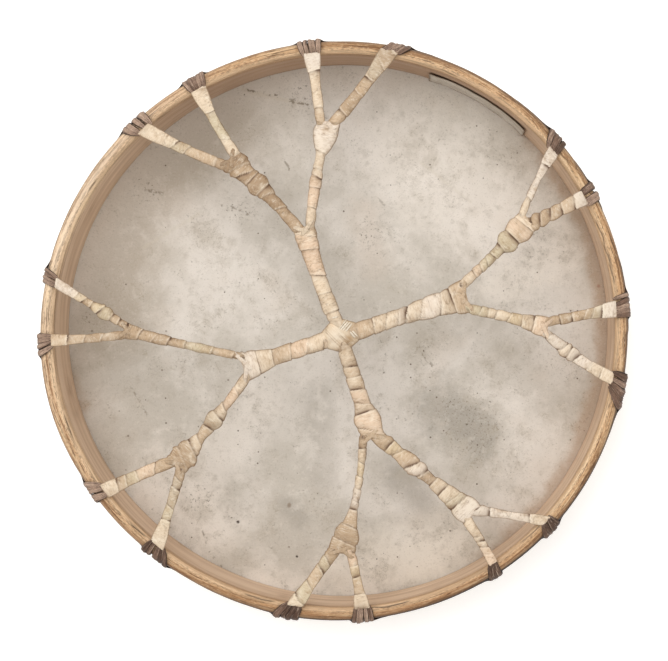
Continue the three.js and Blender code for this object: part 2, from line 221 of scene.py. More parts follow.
hoop_points = solid_points("hoop")
hoop_angles, hoop_radii = polar(hoop_points)
outline_angles = np.unique(hoop_angles.round(2))
outer_radii = np.array([hoop_radii[abs(hoop_angles - a) < 0.3].max() for a in outline_angles])
inner_radii = np.array([hoop_radii[abs(hoop_angles - a) < 0.3].min() for a in outline_angles])


def outline(angle):
    """The hoop's outer radius at an angle in degrees."""
    return np.interp(np.asarray(angle) % 360, outline_angles, outer_radii, period=360)


hoop_wall = float((outer_radii - inner_radii).mean())
print("outline radius", outer_radii.min().round(4), "to", outer_radii.max().round(4))
print("wall", round(hoop_wall, 4))

# %% [markdown]
# Most pieces are skins over rows of points, so one helper turns a grid of points into a closed mesh. Values
# that a material needs, such as the distance along the grain, are kept as attributes on the points.

# %% Mesh helpers


def grid_piece(name, grid, closed_rows=True, closed_sides=True, caps=False, attributes=None):
    """A mesh from a grid of points, rows by sides, that may close on itself either way."""
    rows, sides, _ = grid.shape
    index = np.arange(rows * sides).reshape(rows, sides)
    near = index if closed_rows else index[:-1]
    far = np.roll(index, -1, 0) if closed_rows else index[1:]
    if closed_sides:
        quads = np.stack([near, np.roll(near, -1, 1), np.roll(far, -1, 1), far], -1)
    else:
        quads = np.stack([near[:, :-1], near[:, 1:], far[:, 1:], far[:, :-1]], -1)
    faces = quads.reshape(-1, 4).tolist()
    if caps:
        faces += [index[0, ::-1].tolist(), index[-1].tolist()]
    mesh = bpy.data.meshes.new(name)
    mesh.from_pydata(grid.reshape(-1, 3).tolist(), [], faces)
    for label, values in (attributes or {}).items():
        layer = mesh.attributes.new(label, "FLOAT", "POINT")
        layer.data.foreach_set("value", np.asarray(values, dtype=np.float32).ravel())
    mesh.shade_smooth()
    piece = bpy.data.objects.new(name, mesh)
    bpy.context.collection.objects.link(piece)
    return piece


def around(angles, radii, heights):
    """Points from angles in degrees, radii and heights of the same shape."""
    turned = np.radians(angles)
    return np.stack([radii * np.cos(turned), radii * np.sin(turned), heights + 0 * turned], -1)


def ramp(value, zero, one):
    """0 where a length has one value and 1 where it has another, both in mm."""
    return np.clip((value / mm - zero) / (one - zero), 0, 1)


def waves(seed, count, *coordinates):
    """A smooth wandering value from a few sine waves, for uneven handwork. It repeats exactly."""
    random = np.random.default_rng(seed)
    total = 0
    for _ in range(count):
        phase = random.uniform(0, 2 * math.pi)
        turn = sum(c * random.uniform(-1, 1) for c in coordinates)
        total = total + np.sin(turn * 2 * math.pi + phase)
    return total / math.sqrt(count)


def periodic(seed, angle, lowest, highest, count=8):
    """A wandering value that meets itself after a full turn."""
    random = np.random.default_rng(seed)
    total = 0
    for _ in range(count):
        cycles = random.integers(lowest, highest)
        total = total + np.sin(np.radians(angle) * cycles + random.uniform(0, 2 * math.pi))
    return total / math.sqrt(count)


def values_of(mesh, name):
    values = np.empty(len(mesh.vertices), dtype=np.float32)
    mesh.attributes[name].data.foreach_get("value", values)
    return values


def places_of(mesh):
    places = np.empty(len(mesh.vertices) * 3, dtype=np.float32)
    mesh.vertices.foreach_get("co", places)
    return places.reshape(-1, 3)


def volume_of(mesh):
    """The volume inside a mesh. It is below zero where the faces point inwards."""
    places = places_of(mesh)
    mesh.calc_loop_triangles()
    corners = np.empty(len(mesh.loop_triangles) * 3, dtype=np.int32)
    mesh.loop_triangles.foreach_get("vertices", corners)
    a, b, c = places[corners.reshape(-1, 3)].transpose(1, 0, 2).astype(np.float64)
    return float((a * np.cross(b, c)).sum() / 6)


print("mesh helpers ready")

# %% [markdown]
# Every material here starts from the same few steps: a noise at some scale, a curve that picks a part of it,
# and a mix of two colours. Noise reads Object coordinates in metres, so a scale of 100 means 10 mm.

# %% Material helpers


def new_material(name, roughness, specular=0.5):
    """A material with its tree and its shader, whose even values are set on the shader itself."""
    material = bpy.data.materials.new(name)
    material.use_nodes = True
    shader = material.node_tree.nodes["Principled BSDF"]
    set_inputs(shader, {"Roughness": roughness, "Specular IOR Level": specular})
    return material, material.node_tree, shader


def attribute(name, output="Fac"):
    return add("ShaderNodeAttribute", attribute_name=name).outputs[output]


def object_place():
    return add("ShaderNodeTexCoord").outputs["Object"]


def noise(place, scale, detail=3.0, roughness=0.55, distortion=0.0):
    sockets = {"Vector": place, "Scale": scale, "Detail": detail, "Roughness": roughness,
               "Distortion": distortion}
    return add("ShaderNodeTexNoise", sockets).outputs["Fac"]


def pick(value, low, high, to_low=0.0, to_high=1.0):
    """A value between low and high, spread over the range from to_low to to_high and held there."""
    sockets = {"Value": value, "From Min": low, "From Max": high, "To Min": to_low, "To Max": to_high}
    return add("ShaderNodeMapRange", sockets, interpolation_type="SMOOTHSTEP").outputs["Result"]


def blend(share, first, second):
    """Two colours mixed. A colour is a socket, or three numbers as seen on a screen."""
    first = colour(*first) if isinstance(first, tuple) else first
    second = colour(*second) if isinstance(second, tuple) else second
    return add("ShaderNodeMix", {0: share, 6: first, 7: second}, data_type="RGBA").outputs[2]


def layers(surface, rows):
    """Colours laid over each other. A row is a share and a colour, or a value, where its share of the colour
    starts, where that is full, the most it may be, and the colour."""
    for value, *limits, shade in rows:
        share = pick(value, limits[0], limits[1], 0, limits[2]) if limits else value
        surface = blend(share, surface, shade)
    return surface


def round_band(along_scale, round_scale):
    """A place for noise on a band: along it, and round it."""
    return vector(times(attribute("along"), along_scale), times(attribute("round_x"), round_scale),
                  times(attribute("round_y"), round_scale))


def finish_material(shader, surface, roughness, relief, depth, strength=1.0):
    """Give a shader its colour, its roughness and relief that the light sees but the outline doesn't."""
    tree.links.new(surface, shader.inputs["Base Color"])
    tree.links.new(roughness, shader.inputs["Roughness"])
    bump = add("ShaderNodeBump", {"Height": relief, "Distance": depth, "Strength": strength})
    tree.links.new(bump.outputs["Normal"], shader.inputs["Normal"])


def winding(value, thinness):
    """Thin lines that wander where a noise passes through its middle."""
    return pick(sums("ABSOLUTE", minus(value, 0.5)), thinness, 0.0)


def vector(x, y, z):
    return add("ShaderNodeCombineXYZ", {"X": x, "Y": y, "Z": z}).outputs[0]


def parts_of(place):
    return add("ShaderNodeSeparateXYZ", {"Vector": place}).outputs


def finish_piece(piece, node_names, material=None):
    """Turn a piece's faces outward, give it a material if there is one, fix it to the root body and hide the
    solids it stands for.
    """
    if volume_of(piece.data) < 0:
        piece.data.flip_normals()
    if material:
        piece.data.materials.clear()
        piece.data.materials.append(material)
    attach(piece, "root")
    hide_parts(*node_names)


print("material helpers ready")

# %% [markdown]
# The hoop is one thin plank, steamed and bent, with its ends scarfed together. Its grain runs round the drum,
# so the noise is stretched along the hoop: its place is taken slowly round the drum and quickly across it.

# %% Wood
wood, tree, shader = new_material("bent_wood", 0.55, 0.35)
place = object_place()
x, y = parts_of(place)[:2]
inside = attribute("inside")
bent_across = times_plus(noise(place, 9, 2), 6 * mm, attribute("across"))


def grain(slow, fast, detail=4.0):
    """Noise that changes slowly along the hoop and fast across it."""
    return noise(vector(times(x, slow), times(y, slow), times(bent_across, fast)), 1.0, detail, 0.6)


broad = grain(7, 120, 3)
fine = grain(16, 620)
pores = grain(55, 1900, 2)
blotch = noise(place, 22, 3)
streaks = grain(11, 330, 3)
pits = grain(420, 1500, 3)
checks = winding(grain(9, 300, 2), 0.01)
tone = pick(broad, 0.36, 0.66)
surface = blend(tone, (208, 168, 126), (184, 141, 98))
left = times(pick(x, -0.05, -0.19, 0, 1), pick(y, -0.1, 0.04, 0.3, 1))
left_wood = blend(tone, (232, 203, 171), (212, 179, 144))
surface = layers(surface, [
    (left, left_wood), (streaks, 0.52, 0.64, 0.6, (142, 102, 66)), (fine, 0.52, 0.64, 0.85, (132, 92, 56)),
    (fine, 0.48, 0.32, 0.8, (240, 210, 168)), (pores, 0.56, 0.66, 0.85, (84, 56, 36)),
    (pits, 0.54, 0.66, 0.6, (118, 84, 54)), (pits, 0.44, 0.34, 0.5, (232, 204, 166)),
    (times(attribute("crown"), pick(pits, 0.5, 0.6, 0, 0.8)), (78, 52, 34)),
    (times(checks, pick(blotch, 0.45, 0.6)), (84, 56, 36)),
    (times(pick(y, -0.1, -0.2, 0, 0.8), blotch), (150, 104, 64)),
])
lining = blend(tone, (228, 201, 174), (208, 178, 149))
# The last row darkens the wall at the top, which faces away from the light: painted shade.
lining = layers(lining, [
    (fine, 0.5, 0.7, 0.18, (170, 134, 106)), (streaks, 0.52, 0.7, 0.14, (176, 138, 108)),
    (blotch, 0.42, 0.66, 0.25, (190, 158, 128)), (y, 0.1, 0.19, 0.6, (150, 116, 90)),
])
# bevel lightens the inner round with paler wood and painted light; outer is painted shade; split holds the
# dark splits and the painted shade along the rim's outermost edge.
surface = layers(surface, [
    (attribute("bevel"), (238, 206, 168)), (attribute("pale"), (246, 222, 194)), (inside, lining),
    (blotch, 0.6, 0.78, 0.45, (132, 96, 64)), (attribute("outer"), (96, 65, 40)),
    (attribute("split"), (44, 29, 19)),
])
relief = minus(plus(fine, streaks), plus(pores, checks))
relief = times(relief, pick(inside, 0, 1, 1, 0.35))
finish_material(shader, surface, pick(fine, 0.3, 0.7, 0.5, 0.7), relief, 0.8 * mm, 0.8)
print("wood has", len(tree.nodes), "nodes")

# %% [markdown]
# The hoop's section is a tall plank with rounded edges. It is laid out once as a row of points and carried
# round the measured outline. Carving, nicks and the dark splits in the rim are small moves of those points.

# %% Hoop
front_round = 3.5 * mm
back_round = 4 * mm
inner_round = 4.4 * mm
chamfer = 1 * mm
hoop_front = hoop_low.z
hoop_columns = 900


def arc(outward, height, radius, start, end, steps):
    turns = np.radians(np.linspace(start, end, steps + 1))
    return np.stack([outward + radius * np.cos(turns), height + radius * np.sin(turns)], -1)


def straight(start, end, steps):
    """Points strictly between two corners."""
    shares = np.linspace(0, 1, steps + 1)[1:-1, None]
    return np.array(start) * (1 - shares) + np.array(end) * shares


def rim_swell(angle, outward, height):
    """How far the rim stands out beyond its solid, where the photograph shows it wider."""
    most = 0.45 * mm
    for middle, spread, more in [(195, 16, 1.3), (262, 16, 0.8), (325, 22, 0.7), (130, 30, 0.4)]:
        gap = (np.asarray(angle) - middle + 180) % 360 - 180
        most = most + more * mm * np.exp(-(gap / spread) ** 2)
    return most * ramp(height - rim_top, -14, -6) * ramp(outward, -4.5, -1.5)


section = np.concatenate([
    arc(-front_round, hoop_front + front_round, front_round, -90, 0, 6),
    straight((0, hoop_front + front_round), (0, rim_top - back_round), 14),
    arc(-back_round, rim_top - back_round, back_round, 0, 90, 14),
    arc(inner_round - hoop_wall, rim_top - inner_round, inner_round, 90, 180, 11),
    straight((-hoop_wall, rim_top - inner_round), (-hoop_wall, hoop_front + chamfer), 16),
    np.array([(-hoop_wall, hoop_front + chamfer), (chamfer - hoop_wall, hoop_front)]),
])
steps_across = np.hypot(*np.diff(section, axis=0).T)
section_across = np.concatenate([[0], np.cumsum(steps_across)])
rim_middle = section_across[np.argmax(section[:, 1] > rim_top - 0.001 * mm)] + 1.5 * mm

column_angles = np.arange(hoop_columns)[:, None] * 360 / hoop_columns
outward = section[None, :, 0]
height = section[None, :, 1]
across_grid = section_across[None, :] + 0 * column_angles
on_grid = np.zeros_like(across_grid)
to_rim = np.clip(1 - abs(across_grid - rim_middle) / (9 * mm), 0, 1)


def near(middle, spread):
    """1 in the columns at an angle, falling to 0 at so many degrees from it."""
    return np.clip(1 - abs(column_angles - middle) / spread, 0, 1)


# Each split runs along the rim: where it starts and ends, how far inside the rim's middle, and its depth
split_width = 0.55 * mm
splits = [(9, 23, 2.6, 0.9), (223, 228, 1.8, 1.3), (251, 258, 2.4, 1.5), (274, 286, 2.2, 1.6),
          (147, 151, 1.0, 0.7), (311, 317, 2.4, 0.8), (64, 68, 2.6, 0.7), (197, 203, 2.0, 0.7)]
split_share = on_grid
for number, (start, end, beyond, depth) in enumerate(splits):
    line = rim_middle + beyond * mm + 0.5 * mm * waves(40 + number, 3, column_angles / 4)
    length = np.clip((column_angles - start) / 1.2, 0, 1) * np.clip((end - column_angles) / 1.2, 0, 1)
    groove = np.exp(-((across_grid - line) / split_width) ** 2) * length
    split_share = np.maximum(split_share, groove * min(1, depth))

split_depth = 1.5 * mm
skin_allowance = 0.25 * mm
turned = np.radians(column_angles)
carving = 0.18 * mm * periodic(11, column_angles, 9, 40)
carving = carving + 0.22 * mm * to_rim * periodic(12, column_angles, 30, 120)
ripple = 0.1 * mm * waves(13, 10, across_grid / (9 * mm), np.cos(turned) * 9, np.sin(turned) * 9)
inside_wall = outward < -hoop_wall + 0.001 * mm
push = np.where(inside_wall, -0.4, 1.0) * carving * 0.5 + ripple
slope = np.gradient(section, axis=0)
slope /= np.maximum(np.hypot(*slope.T)[:, None], 1e-9)
normal_out = slope[:, 1][None, :]
normal_up = -slope[:, 0][None, :]
move = push * (to_rim * 0.9 + 0.1) - split_depth * split_share - skin_allowance
swell = rim_swell(column_angles, outward, height)
grid = around(column_angles + on_grid, outline(column_angles) + outward + swell + move * normal_out,
              height + move * normal_up)
grid[..., 2] = np.clip(grid[..., 2], hoop_front, None)

# Shares that the wood's material reads: lining, a paler inner rounded edge with painted light on it, crown,
# painted shade on the outside and pale top
below_rim = rim_top - height
inside_share = ramp(below_rim, 4, 14) * (outward < -0.7 * hoop_wall)
# The inner rounded edge turns up to the light: paler wood there, and painted light.
bevel_share = 0.5 * ramp(outward + hoop_wall, 3.8, 1.8) * ramp(below_rim, 6, 2)
crown_share = np.exp(-((across_grid - rim_middle - 0.6 * mm) / (1.1 * mm)) ** 2)
# The outside darkens below the rim and at a few angles, most at the lower right: painted shade.
outer_share = np.clip((below_rim - 1.6 * mm) / (5 * mm), 0, 0.8) * (outward > -0.4 * hoop_wall)
outer_half = ramp(outward, -4, -1)
for middle, spread, share in [(292, 50, 0.9), (72, 46, 0.65), (218, 40, 0.22), (250, 26, 0.25)]:
    outer_share = outer_share + share * near(middle, spread) * outer_half
outer_share = np.clip(outer_share, 0, 0.85)
pale_share = 0.6 * near(150, 36) * np.exp(-((outward + 3.9 * mm) / (1.8 * mm)) ** 2)

# The rim's outermost edge is darker, most of all at the right and below: painted shade on the side away from
# the light
near_rim = ramp(below_rim, 9, 6)
darkening = (0.35 + 0.5 * near(300, 75)) * ramp(outward, -1.9, -0.6) * near_rim
for middle, spread, share in [(312, 34, 0.4), (262, 16, 0.35), (352, 20, 0.3), (40, 24, 0.15)]:
    darkening = darkening + share * near(middle, spread) * outer_half * near_rim
# The splits and this painted shade along the outermost edge share one attribute.
dark_share = np.clip(np.maximum(split_share, darkening), 0, 1)
hoop = grid_piece("bent_hoop", grid, attributes={
    "crown": crown_share, "pale": pale_share, "bevel": bevel_share + on_grid, "across": across_grid,
    "inside": inside_share + on_grid, "outer": outer_share + on_grid, "split": dark_share})
finish_piece(hoop, ["hoop"], wood)
print("hoop has", len(hoop.data.polygons), "faces; section is", round(section_across[-1] / mm), "mm long")

# %% [markdown]
# Each lashing is measured on its own solid: where its laces lie side by side over the rim, and which holes
# in the hide they run down to. The hide needs the holes too, because it is pulled up at every one of them.

# %% Measure the lashings


def groups_of(angles, gap):
    """The middle of each group of angles, where a step wider than the gap starts a new group."""
    turned = np.sort((angles - angles[0] + 180) % 360)
    parts = np.split(turned, np.flatnonzero(np.diff(turned) > gap) + 1)
    return [float((part[0] + part[-1]) / 2 + angles[0] - 180) for part in parts]


def limb_end(name):
    """The angle of a strap's outer end and how many degrees wide it is there."""
    angles, radii = polar(solid_points(name))
    last = radii > radii.max() - 3 * mm
    turned = (angles[last] - angles[last][0] + 180) % 360 - 180
    return angles[last][0] + (turned.max() + turned.min()) / 2, float(np.ptp(turned))


lashings = []
for name in sorted(n for n in nodes if n.startswith("lashing_")):
    points = solid_points(name)
    angles, radii = polar(points)
    heights = points[:, 2]
    hole_points = heights < heights.min() + 0.05 * mm
    ridge_points = heights > heights.max() - 0.02 * mm
    ridges = groups_of(angles[ridge_points], 0.3)
    start = float((radii[ridge_points] - outline(angles[ridge_points])).min())
    holes = groups_of(angles[hole_points], 2)
    lashings.append({"name": name, "ridges": ridges, "holes": holes, "start": start,
                     "hole_height": float(heights.min())})
    assert len(ridges) == len(holes), name
strap_ends = [limb_end(name) for name in nodes if name.startswith("twig_")]
for tie in lashings:
    middle = (tie["ridges"][0] + tie["ridges"][-1]) / 2
    gaps = [(end - middle + 180) % 360 - 180 for end, _ in strap_ends]
    closest = int(np.argmin(np.abs(gaps)))
    tie["strap"] = middle + gaps[closest]
    tie["strap_width"] = strap_ends[closest][1]
hole_angles = np.sort(np.concatenate([tie["holes"] for tie in lashings]) % 360)
hole_height = lashings[0]["hole_height"]
print(len(lashings), "lashings with", len(hole_angles), "laces; holes at height", round(hole_height / mm, 1))

# %% [markdown]
# Rawhide dries cloudy: cream where it is thick, greyer and browner near the rim, with veins, specks and a
# few stains. Large soft noises make the clouds, and each mark seen in the photograph gets its own place.

# %% Hide


def distance_to(place, start, end=None):
    """How far a place is from a point, or from the line between two points."""
    start = Vector((*start, 1)) * mm
    away = arrows("SUBTRACT", place, start)
    if end:
        line = Vector((*end, 1)) * mm - start
        dot_product = arrows("DOT_PRODUCT", away, line / line.length_squared)
        share = add("ShaderNodeClamp", {"Value": dot_product}).outputs[0]
        away = arrows("SUBTRACT", away, arrows("SCALE", line, share))
    return arrows("LENGTH", away)


def spot(start, end, radius, uneven, wobble, inner, most=1.0):
    """How much of a place lies in a spot round a point or a line, in mm, with an edge that a noise frays."""
    gap = times_plus(minus(uneven, 0.5), radius * wobble * mm, distance_to(place, start, end))
    return pick(gap, radius * mm, radius * inner * mm, 0, most)


hide, tree, shader = new_material("raw_hide", 0.5, 0.35)
place = object_place()
x, y = parts_of(place)[:2]
near_wall = attribute("near_wall")
clouds = noise(place, 10, 5, 0.6, 0.2)
drift = noise(place, 25, 6, 0.68, 0.2)
stains = noise(place, 44, 6, 0.72, 0.3)
mottle = noise(place, 120, 4, 0.65)
grains = noise(place, 800, 3, 0.6)
warm = noise(place, 19, 2)
surface = blend(pick(clouds, 0.4, 0.6), (190, 182, 170), (215, 207, 197))

# Each area of another shade: its middle line in mm, its radius, how strong it is and its colour. The dark
# areas by the wall at the left and upper left are painted shade.
areas = [
    ((52, 125), (122, 78), 60, 0.6, (230, 221, 210)), ((118, 30), (160, 56), 24, 0.7, (232, 223, 211)),
    ((-98, -108), (-58, -52), 28, 0.6, (228, 219, 208)), ((10, -172), (80, -152), 32, 0.8, (226, 217, 204)),
    ((-158, 108), (-160, 8), 42, 0.65, (156, 142, 123)), ((128, -22), (146, -44), 26, 0.4, (168, 159, 145)),
    ((-14, -50), (-10, -104), 20, 0.45, (166, 158, 147)), ((70, -54), (98, -74), 30, 0.7, (143, 136, 124)),
    ((44, -104), (58, -120), 18, 0.5, (152, 144, 133)), ((-36, -126), (-28, -134), 12, 0.5, (156, 148, 137)),
    ((20, 83), (27, 50), 20, 0.3, (196, 178, 160)), ((-84, 150), (-128, 116), 44, 0.75, (158, 144, 126)),
    ((-128, -106), (-92, -140), 30, 0.7, (230, 221, 210)),
    ((-60, -186), (-20, -192), 20, 0.7, (230, 221, 210)),
]
for start, end, radius, strength, shade in areas:
    surface = blend(spot(start, end, radius, stains, 1.5, 0.15, strength), surface, shade)
# The last row darkens the upper left, where the wall's shadow falls: painted shade.
surface = layers(surface, [
    (drift, 0.5, 0.7, 0.6, (177, 167, 152)), (drift, 0.46, 0.32, 0.5, (222, 214, 204)),
    (warm, 0.55, 0.75, 0.3, (200, 186, 170)), (stains, 0.54, 0.72, 0.5, (170, 159, 144)),
    (mottle, 0.54, 0.74, 0.45, (171, 161, 147)), (mottle, 0.46, 0.3, 0.2, (228, 220, 209)),
    (minus(y, x), 0.1, 0.27, 0.3, (172, 158, 140)),
])
# Near the wall the hide gets painted light and shade. At the upper left it is lightened against the wall's
# shade: painted light. Elsewhere along the wall it is darkened, less where the lamp's shadow already falls
# and towards the bottom: painted shade. A soft brown band along the wall, wider at the right, is painted
# shadow.
shaded = pick(times_plus(y, 0.885, times(x, -0.466)), 0.02, 0.14)
painted_light_by_wall = pick(times_plus(y, 0.95, times(x, -0.3)), 0.05, 0.12, 0, 0.65)
surface = blend(times(near_wall, painted_light_by_wall), surface, (232, 224, 212))
near_wall = times(near_wall, times_plus(shaded, -0.9, 1.0))
low = pick(times_plus(y, -0.94, times(x, -0.34)), 0.1, 0.16)
near_wall = times(near_wall, times_plus(low, -0.7, 1.0))
edge = times(near_wall, pick(stains, 0.3, 0.7, 0.2, 0.65))
edge = times(edge, pick(y, -0.14, 0.02, 0.1, 1))
surface = blend(edge, surface, (172, 156, 136))
brown_wall_shadow = times_plus(minus(stains, 0.5), 0.8, near_wall)
brown_wall_shadow = plus(brown_wall_shadow, pick(x, 0.1, 0.18, 0, 0.12))
surface = layers(surface, [
    (brown_wall_shadow, 0.6, 1.0, 0.65, (174, 146, 120)), (grains, 0.57, 0.72, 0.35, (140, 128, 109)),
    (grains, 0.43, 0.3, 0.15, (234, 227, 217)),
])

cells = add("ShaderNodeTexVoronoi", {"Vector": place, "Scale": 210.0, "Randomness": 1.0})
few = pick(parts_of(cells.outputs["Color"])[0], 0.85, 0.88)
dust = noise(place, 560, 4, 0.75)
where = pick(stains, 0.48, 0.62, 0.05, 0.6)
# Places where the specks crowd together: the place in mm and its radius
crowds = [((98, -68), 34), ((80, -56), 18), ((-24, 168), 20), ((25, 70), 18), ((65, -23), 12),
          ((168, -26), 16), ((-135, 100), 14), ((-70, 86), 16), ((-130, 142), 14), ((-100, -120), 14),
          ((-180, 8), 11)]
for start, radius in crowds:
    where = sums("MAXIMUM", where, spot(start, None, radius, stains, 1.6, 0.2))
surface = blend(times(pick(dust, 0.56, 0.66, 0, 0.9), where), surface, (106, 94, 78))
veins = winding(noise(place, 60, 4, 0.62, 0.4), 0.012)
surface = blend(times(veins, pick(drift, 0.5, 0.62, 0, 0.4)), surface, (140, 126, 104))
size = times_plus(parts_of(cells.outputs["Color"])[1], 0.1, 0.04)
dot = pick(minus(cells.outputs["Distance"], size), 0.03, -0.03)
surface = blend(times(times(few, dot), 0.85), surface, (88, 72, 56))

# Each mark: its place in mm, its radius, how strong it is and its colour
marks = [
    ((-35, -125.4), None, 2.4, 0.6, (118, 96, 72)), ((-71.9, -137.8), None, 1.6, 1.0, (58, 40, 28)),
    ((-29.4, -162.2), None, 1.4, 1.0, (58, 42, 30)), ((-35, -155.5), None, 1.1, 0.7, (92, 74, 56)),
    ((-126.8, -28.5), None, 1.3, 0.7, (100, 84, 66)), ((-79, -35.6), None, 1.1, 0.7, (100, 84, 66)),
    ((-151.4, -76.1), None, 1.2, 0.7, (92, 76, 60)), ((-123.9, -0.4), None, 1.0, 0.7, (98, 82, 66)),
    ((-177.6, -0.4), None, 1.3, 0.7, (92, 74, 56)), ((186.1, 31.7), None, 2.2, 0.5, (150, 92, 72)),
    ((-68.2, 173), (-25.6, 162.6), 2.2, 0.35, (196, 184, 164)),
    ((60, 120), (95, 92), 1.8, 0.25, (198, 188, 168)), ((-140, 60), (-100, 84), 1.6, 0.25, (196, 186, 166)),
]
for start, end, radius, strength, shade in marks:
    surface = blend(spot(start, end, radius, mottle, 1.6, 0.3, strength), surface, shade)

# Old scratches and hair lines, broken up by the mottling: both ends in mm, the radius and the strength
scratches = [
    ((-69, 174), (-45, 169), 1.5, 0.8), ((-45, 169), (-21, 163), 1.5, 0.7),
    ((-98, -141), (-94, -154), 1.4, 0.6), ((-94, -154), (-82, -172), 1.4, 0.6),
    ((-138, 100), (-126, 99), 1.6, 0.7), ((-82, 90), (-63, 84), 1.6, 0.6),
    ((-138, 146), (-121, 141), 1.7, 0.6), ((-38, 121), (-36, 116), 1.3, 0.6),
    ((60, -16), (70, -30), 1.4, 0.5), ((26, 96), (40, 88), 1.4, 0.4), ((-150, -40), (-138, -62), 1.3, 0.5),
]
bending = 8 * mm
bent = add("ShaderNodeTexNoise", {"Vector": place, "Scale": 70.0}).outputs["Color"]
shifted = arrows("ADD", place, arrows("SCALE", bent, bending))
shifted = arrows("SUBTRACT", shifted, (bending / 2, bending / 2, bending / 2))
flat = vector(parts_of(shifted)[0], parts_of(shifted)[1], 1 * mm)
broken = pick(noise(place, 260, 3, 0.6), 0.46, 0.58)
for start, end, radius, strength in scratches:
    share = pick(distance_to(flat, start, end), radius * mm, radius * 0.2 * mm, 0, strength)
    surface = blend(times(share, broken), surface, (112, 98, 78))
struck = blend(pick(drift, 0.35, 0.65), (198, 178, 148), (176, 150, 116))
struck = blend(pick(mottle, 0.5, 0.7, 0, 0.5), struck, (154, 128, 96))
# The underside is the struck side; the holes get painted shade.
surface = layers(struck, [
    (attribute("upper"), surface), (attribute("hole"), (70, 52, 38)),
])
relief = times_plus(grains, 0.3, mottle)
finish_material(shader, surface, pick(clouds, 0.3, 0.7, 0.6, 0.42), relief, 0.8 * mm, 0.5)
print("hide has", len(tree.nodes), "nodes and", len(marks), "marks")

# %% [markdown]
# The drumhead is one wet hide that is pulled over the front edge and laced to the back, so it dries flat and
# tight with a scalloped hem. One grid covers it: out along the underside, up the skirt and back in above.

# %% Drumhead
hide_thickness = 1 * mm
gap_to_wood = 0.3 * mm
scallop = 0.9 * mm
pleat = 0.22 * mm
hide_columns = 720
corner_height = hoop_front + front_round
inner_corner = front_round + gap_to_wood
outer_corner = inner_corner + hide_thickness

head_points = solid_points("drumhead")
head_angles, _ = polar(head_points)
hem_points = head_points[:, 2] > 0.5 * head_points[:, 2].max()
order = np.argsort(head_angles[hem_points])
hem_angles = head_angles[hem_points][order]
hem_heights = head_points[hem_points, 2][order]

angles = np.arange(hide_columns)[:, None] * 360 / hide_columns
to_hole = np.abs((angles - hole_angles[None, :] + 180) % 360 - 180)
nearest = to_hole.min(1, keepdims=True)
hole_step = 360 / len(hole_angles)
pull = 0.5 + 0.5 * np.cos(np.pi * np.clip(nearest / (hole_step / 2), 0, 1))
hem = np.interp(angles, hem_angles, hem_heights, period=360) + scallop * (pull - 1)
hem += 0.3 * mm * periodic(21, angles, 20, 60)

# Rows: a share of the way out for the flat parts, then outward and height beside the outline for the skirt
flat_out = np.linspace(0, 1, 30)[:-1]
under_arc = arc(-front_round, corner_height, outer_corner, -90, 0, 7)
upper_arc = arc(-front_round, corner_height, inner_corner, 0, -90, 7)
outer_share = np.linspace(0, 1, 14)[1:]
inner_share = np.linspace(1, 0, 9)[:-1]
edge_radius = outline(angles) - front_round
start_radius = 1.2 * mm


def flat_rows(shares, level):
    radius = start_radius + (edge_radius - start_radius) * shares[None, :]
    return around(angles + 0 * radius, radius, level + 0 * radius)


def beside(outward, height):
    return around(angles + 0 * (outward + height), outline(angles) + outward, height)


face_in = gap_to_wood
face_out = gap_to_wood + hide_thickness
skirt_out = corner_height + (hem - 0.4 * mm - corner_height) * outer_share[None, :]
skirt_in = corner_height + (hem - 0.4 * mm - corner_height) * inner_share[None, :]
flat_in = np.linspace(1, 0, 44)[1:]
pieces = [
    flat_rows(flat_out, 0.0),
    beside(under_arc[None, :, 0], under_arc[None, :, 1]),
    beside(face_out + 0 * skirt_out, skirt_out),
    beside(np.array([[face_out - 0.3 * mm, face_in + 0.3 * mm]]), hem + np.zeros((1, 2))),
    beside(face_in + 0 * skirt_in, skirt_in),
    beside(upper_arc[None, :, 0], upper_arc[None, :, 1]),
    flat_rows(flat_in, hide_thickness),
]
grid = np.concatenate(pieces, axis=1)
radius = np.hypot(grid[..., 0], grid[..., 1])
level = grid[..., 2]

# The hide is a little uneven, and its skirt is pleated where the laces pull it up
flat_share = np.clip((edge_radius - radius) / (12 * mm), 0, 1)
unevenness = waves(22, 12, grid[..., 0] / 0.07, grid[..., 1] / 0.07)
grid[..., 2] += flat_share * 0.22 * mm * np.maximum(unevenness + 1.8, 0) * np.clip(radius / 0.01, 0, 1)
skirt_share = np.clip((level - corner_height) / (12 * mm), 0, 1)
turned = np.radians(angles)
lumps = 0.12 * mm * (waves(23, 10, level / (11 * mm), np.cos(turned) * 11, np.sin(turned) * 11) + 1.5)
outside = radius > outline(angles) + 0.6 * gap_to_wood + 0.5 * hide_thickness
push = np.where(outside, skirt_share * (pleat * (1 - pull) + lumps), 0)
grid[..., 0] += push * np.cos(turned)
grid[..., 1] += push * np.sin(turned)

# The hide is darkened round each lace hole: painted shade in the holes.
hole_gap = np.hypot(nearest / 360 * 2 * math.pi * 0.2, level - hole_height)
hole_shade = np.clip(1.6 - hole_gap / (1.1 * mm), 0, 1) * (level > 12 * mm)
columns_before_upper = sum(part.shape[1] for part in pieces[:4])
upper_share = np.zeros(grid.shape[:2])
upper_share[:, columns_before_upper:] = 1
wall_radius = outline(angles) - hoop_wall
near_wall_share = np.clip(1 - (wall_radius - radius) / (42 * mm), 0, 1) ** 2
rows = grid.transpose(1, 0, 2)[::-1]
drumhead = grid_piece("hide_drumhead", rows, closed_rows=False, caps=True, attributes={
    "near_wall": near_wall_share.T[::-1], "upper": upper_share.T[::-1], "hole": hole_shade.T[::-1]})
finish_piece(drumhead, ["drumhead"], hide)
print("drumhead has", len(drumhead.data.polygons), "faces")

# %% [markdown]
# The hand web and the lashings are both bands that follow a path: wet rawhide wound round itself, and
# wrinkled lace. One Geometry Nodes tree makes every one of them. It takes a line whose points know which way
# is sideways and up and how wide and thick the band is there, and adds the seams and wrinkles as relief.

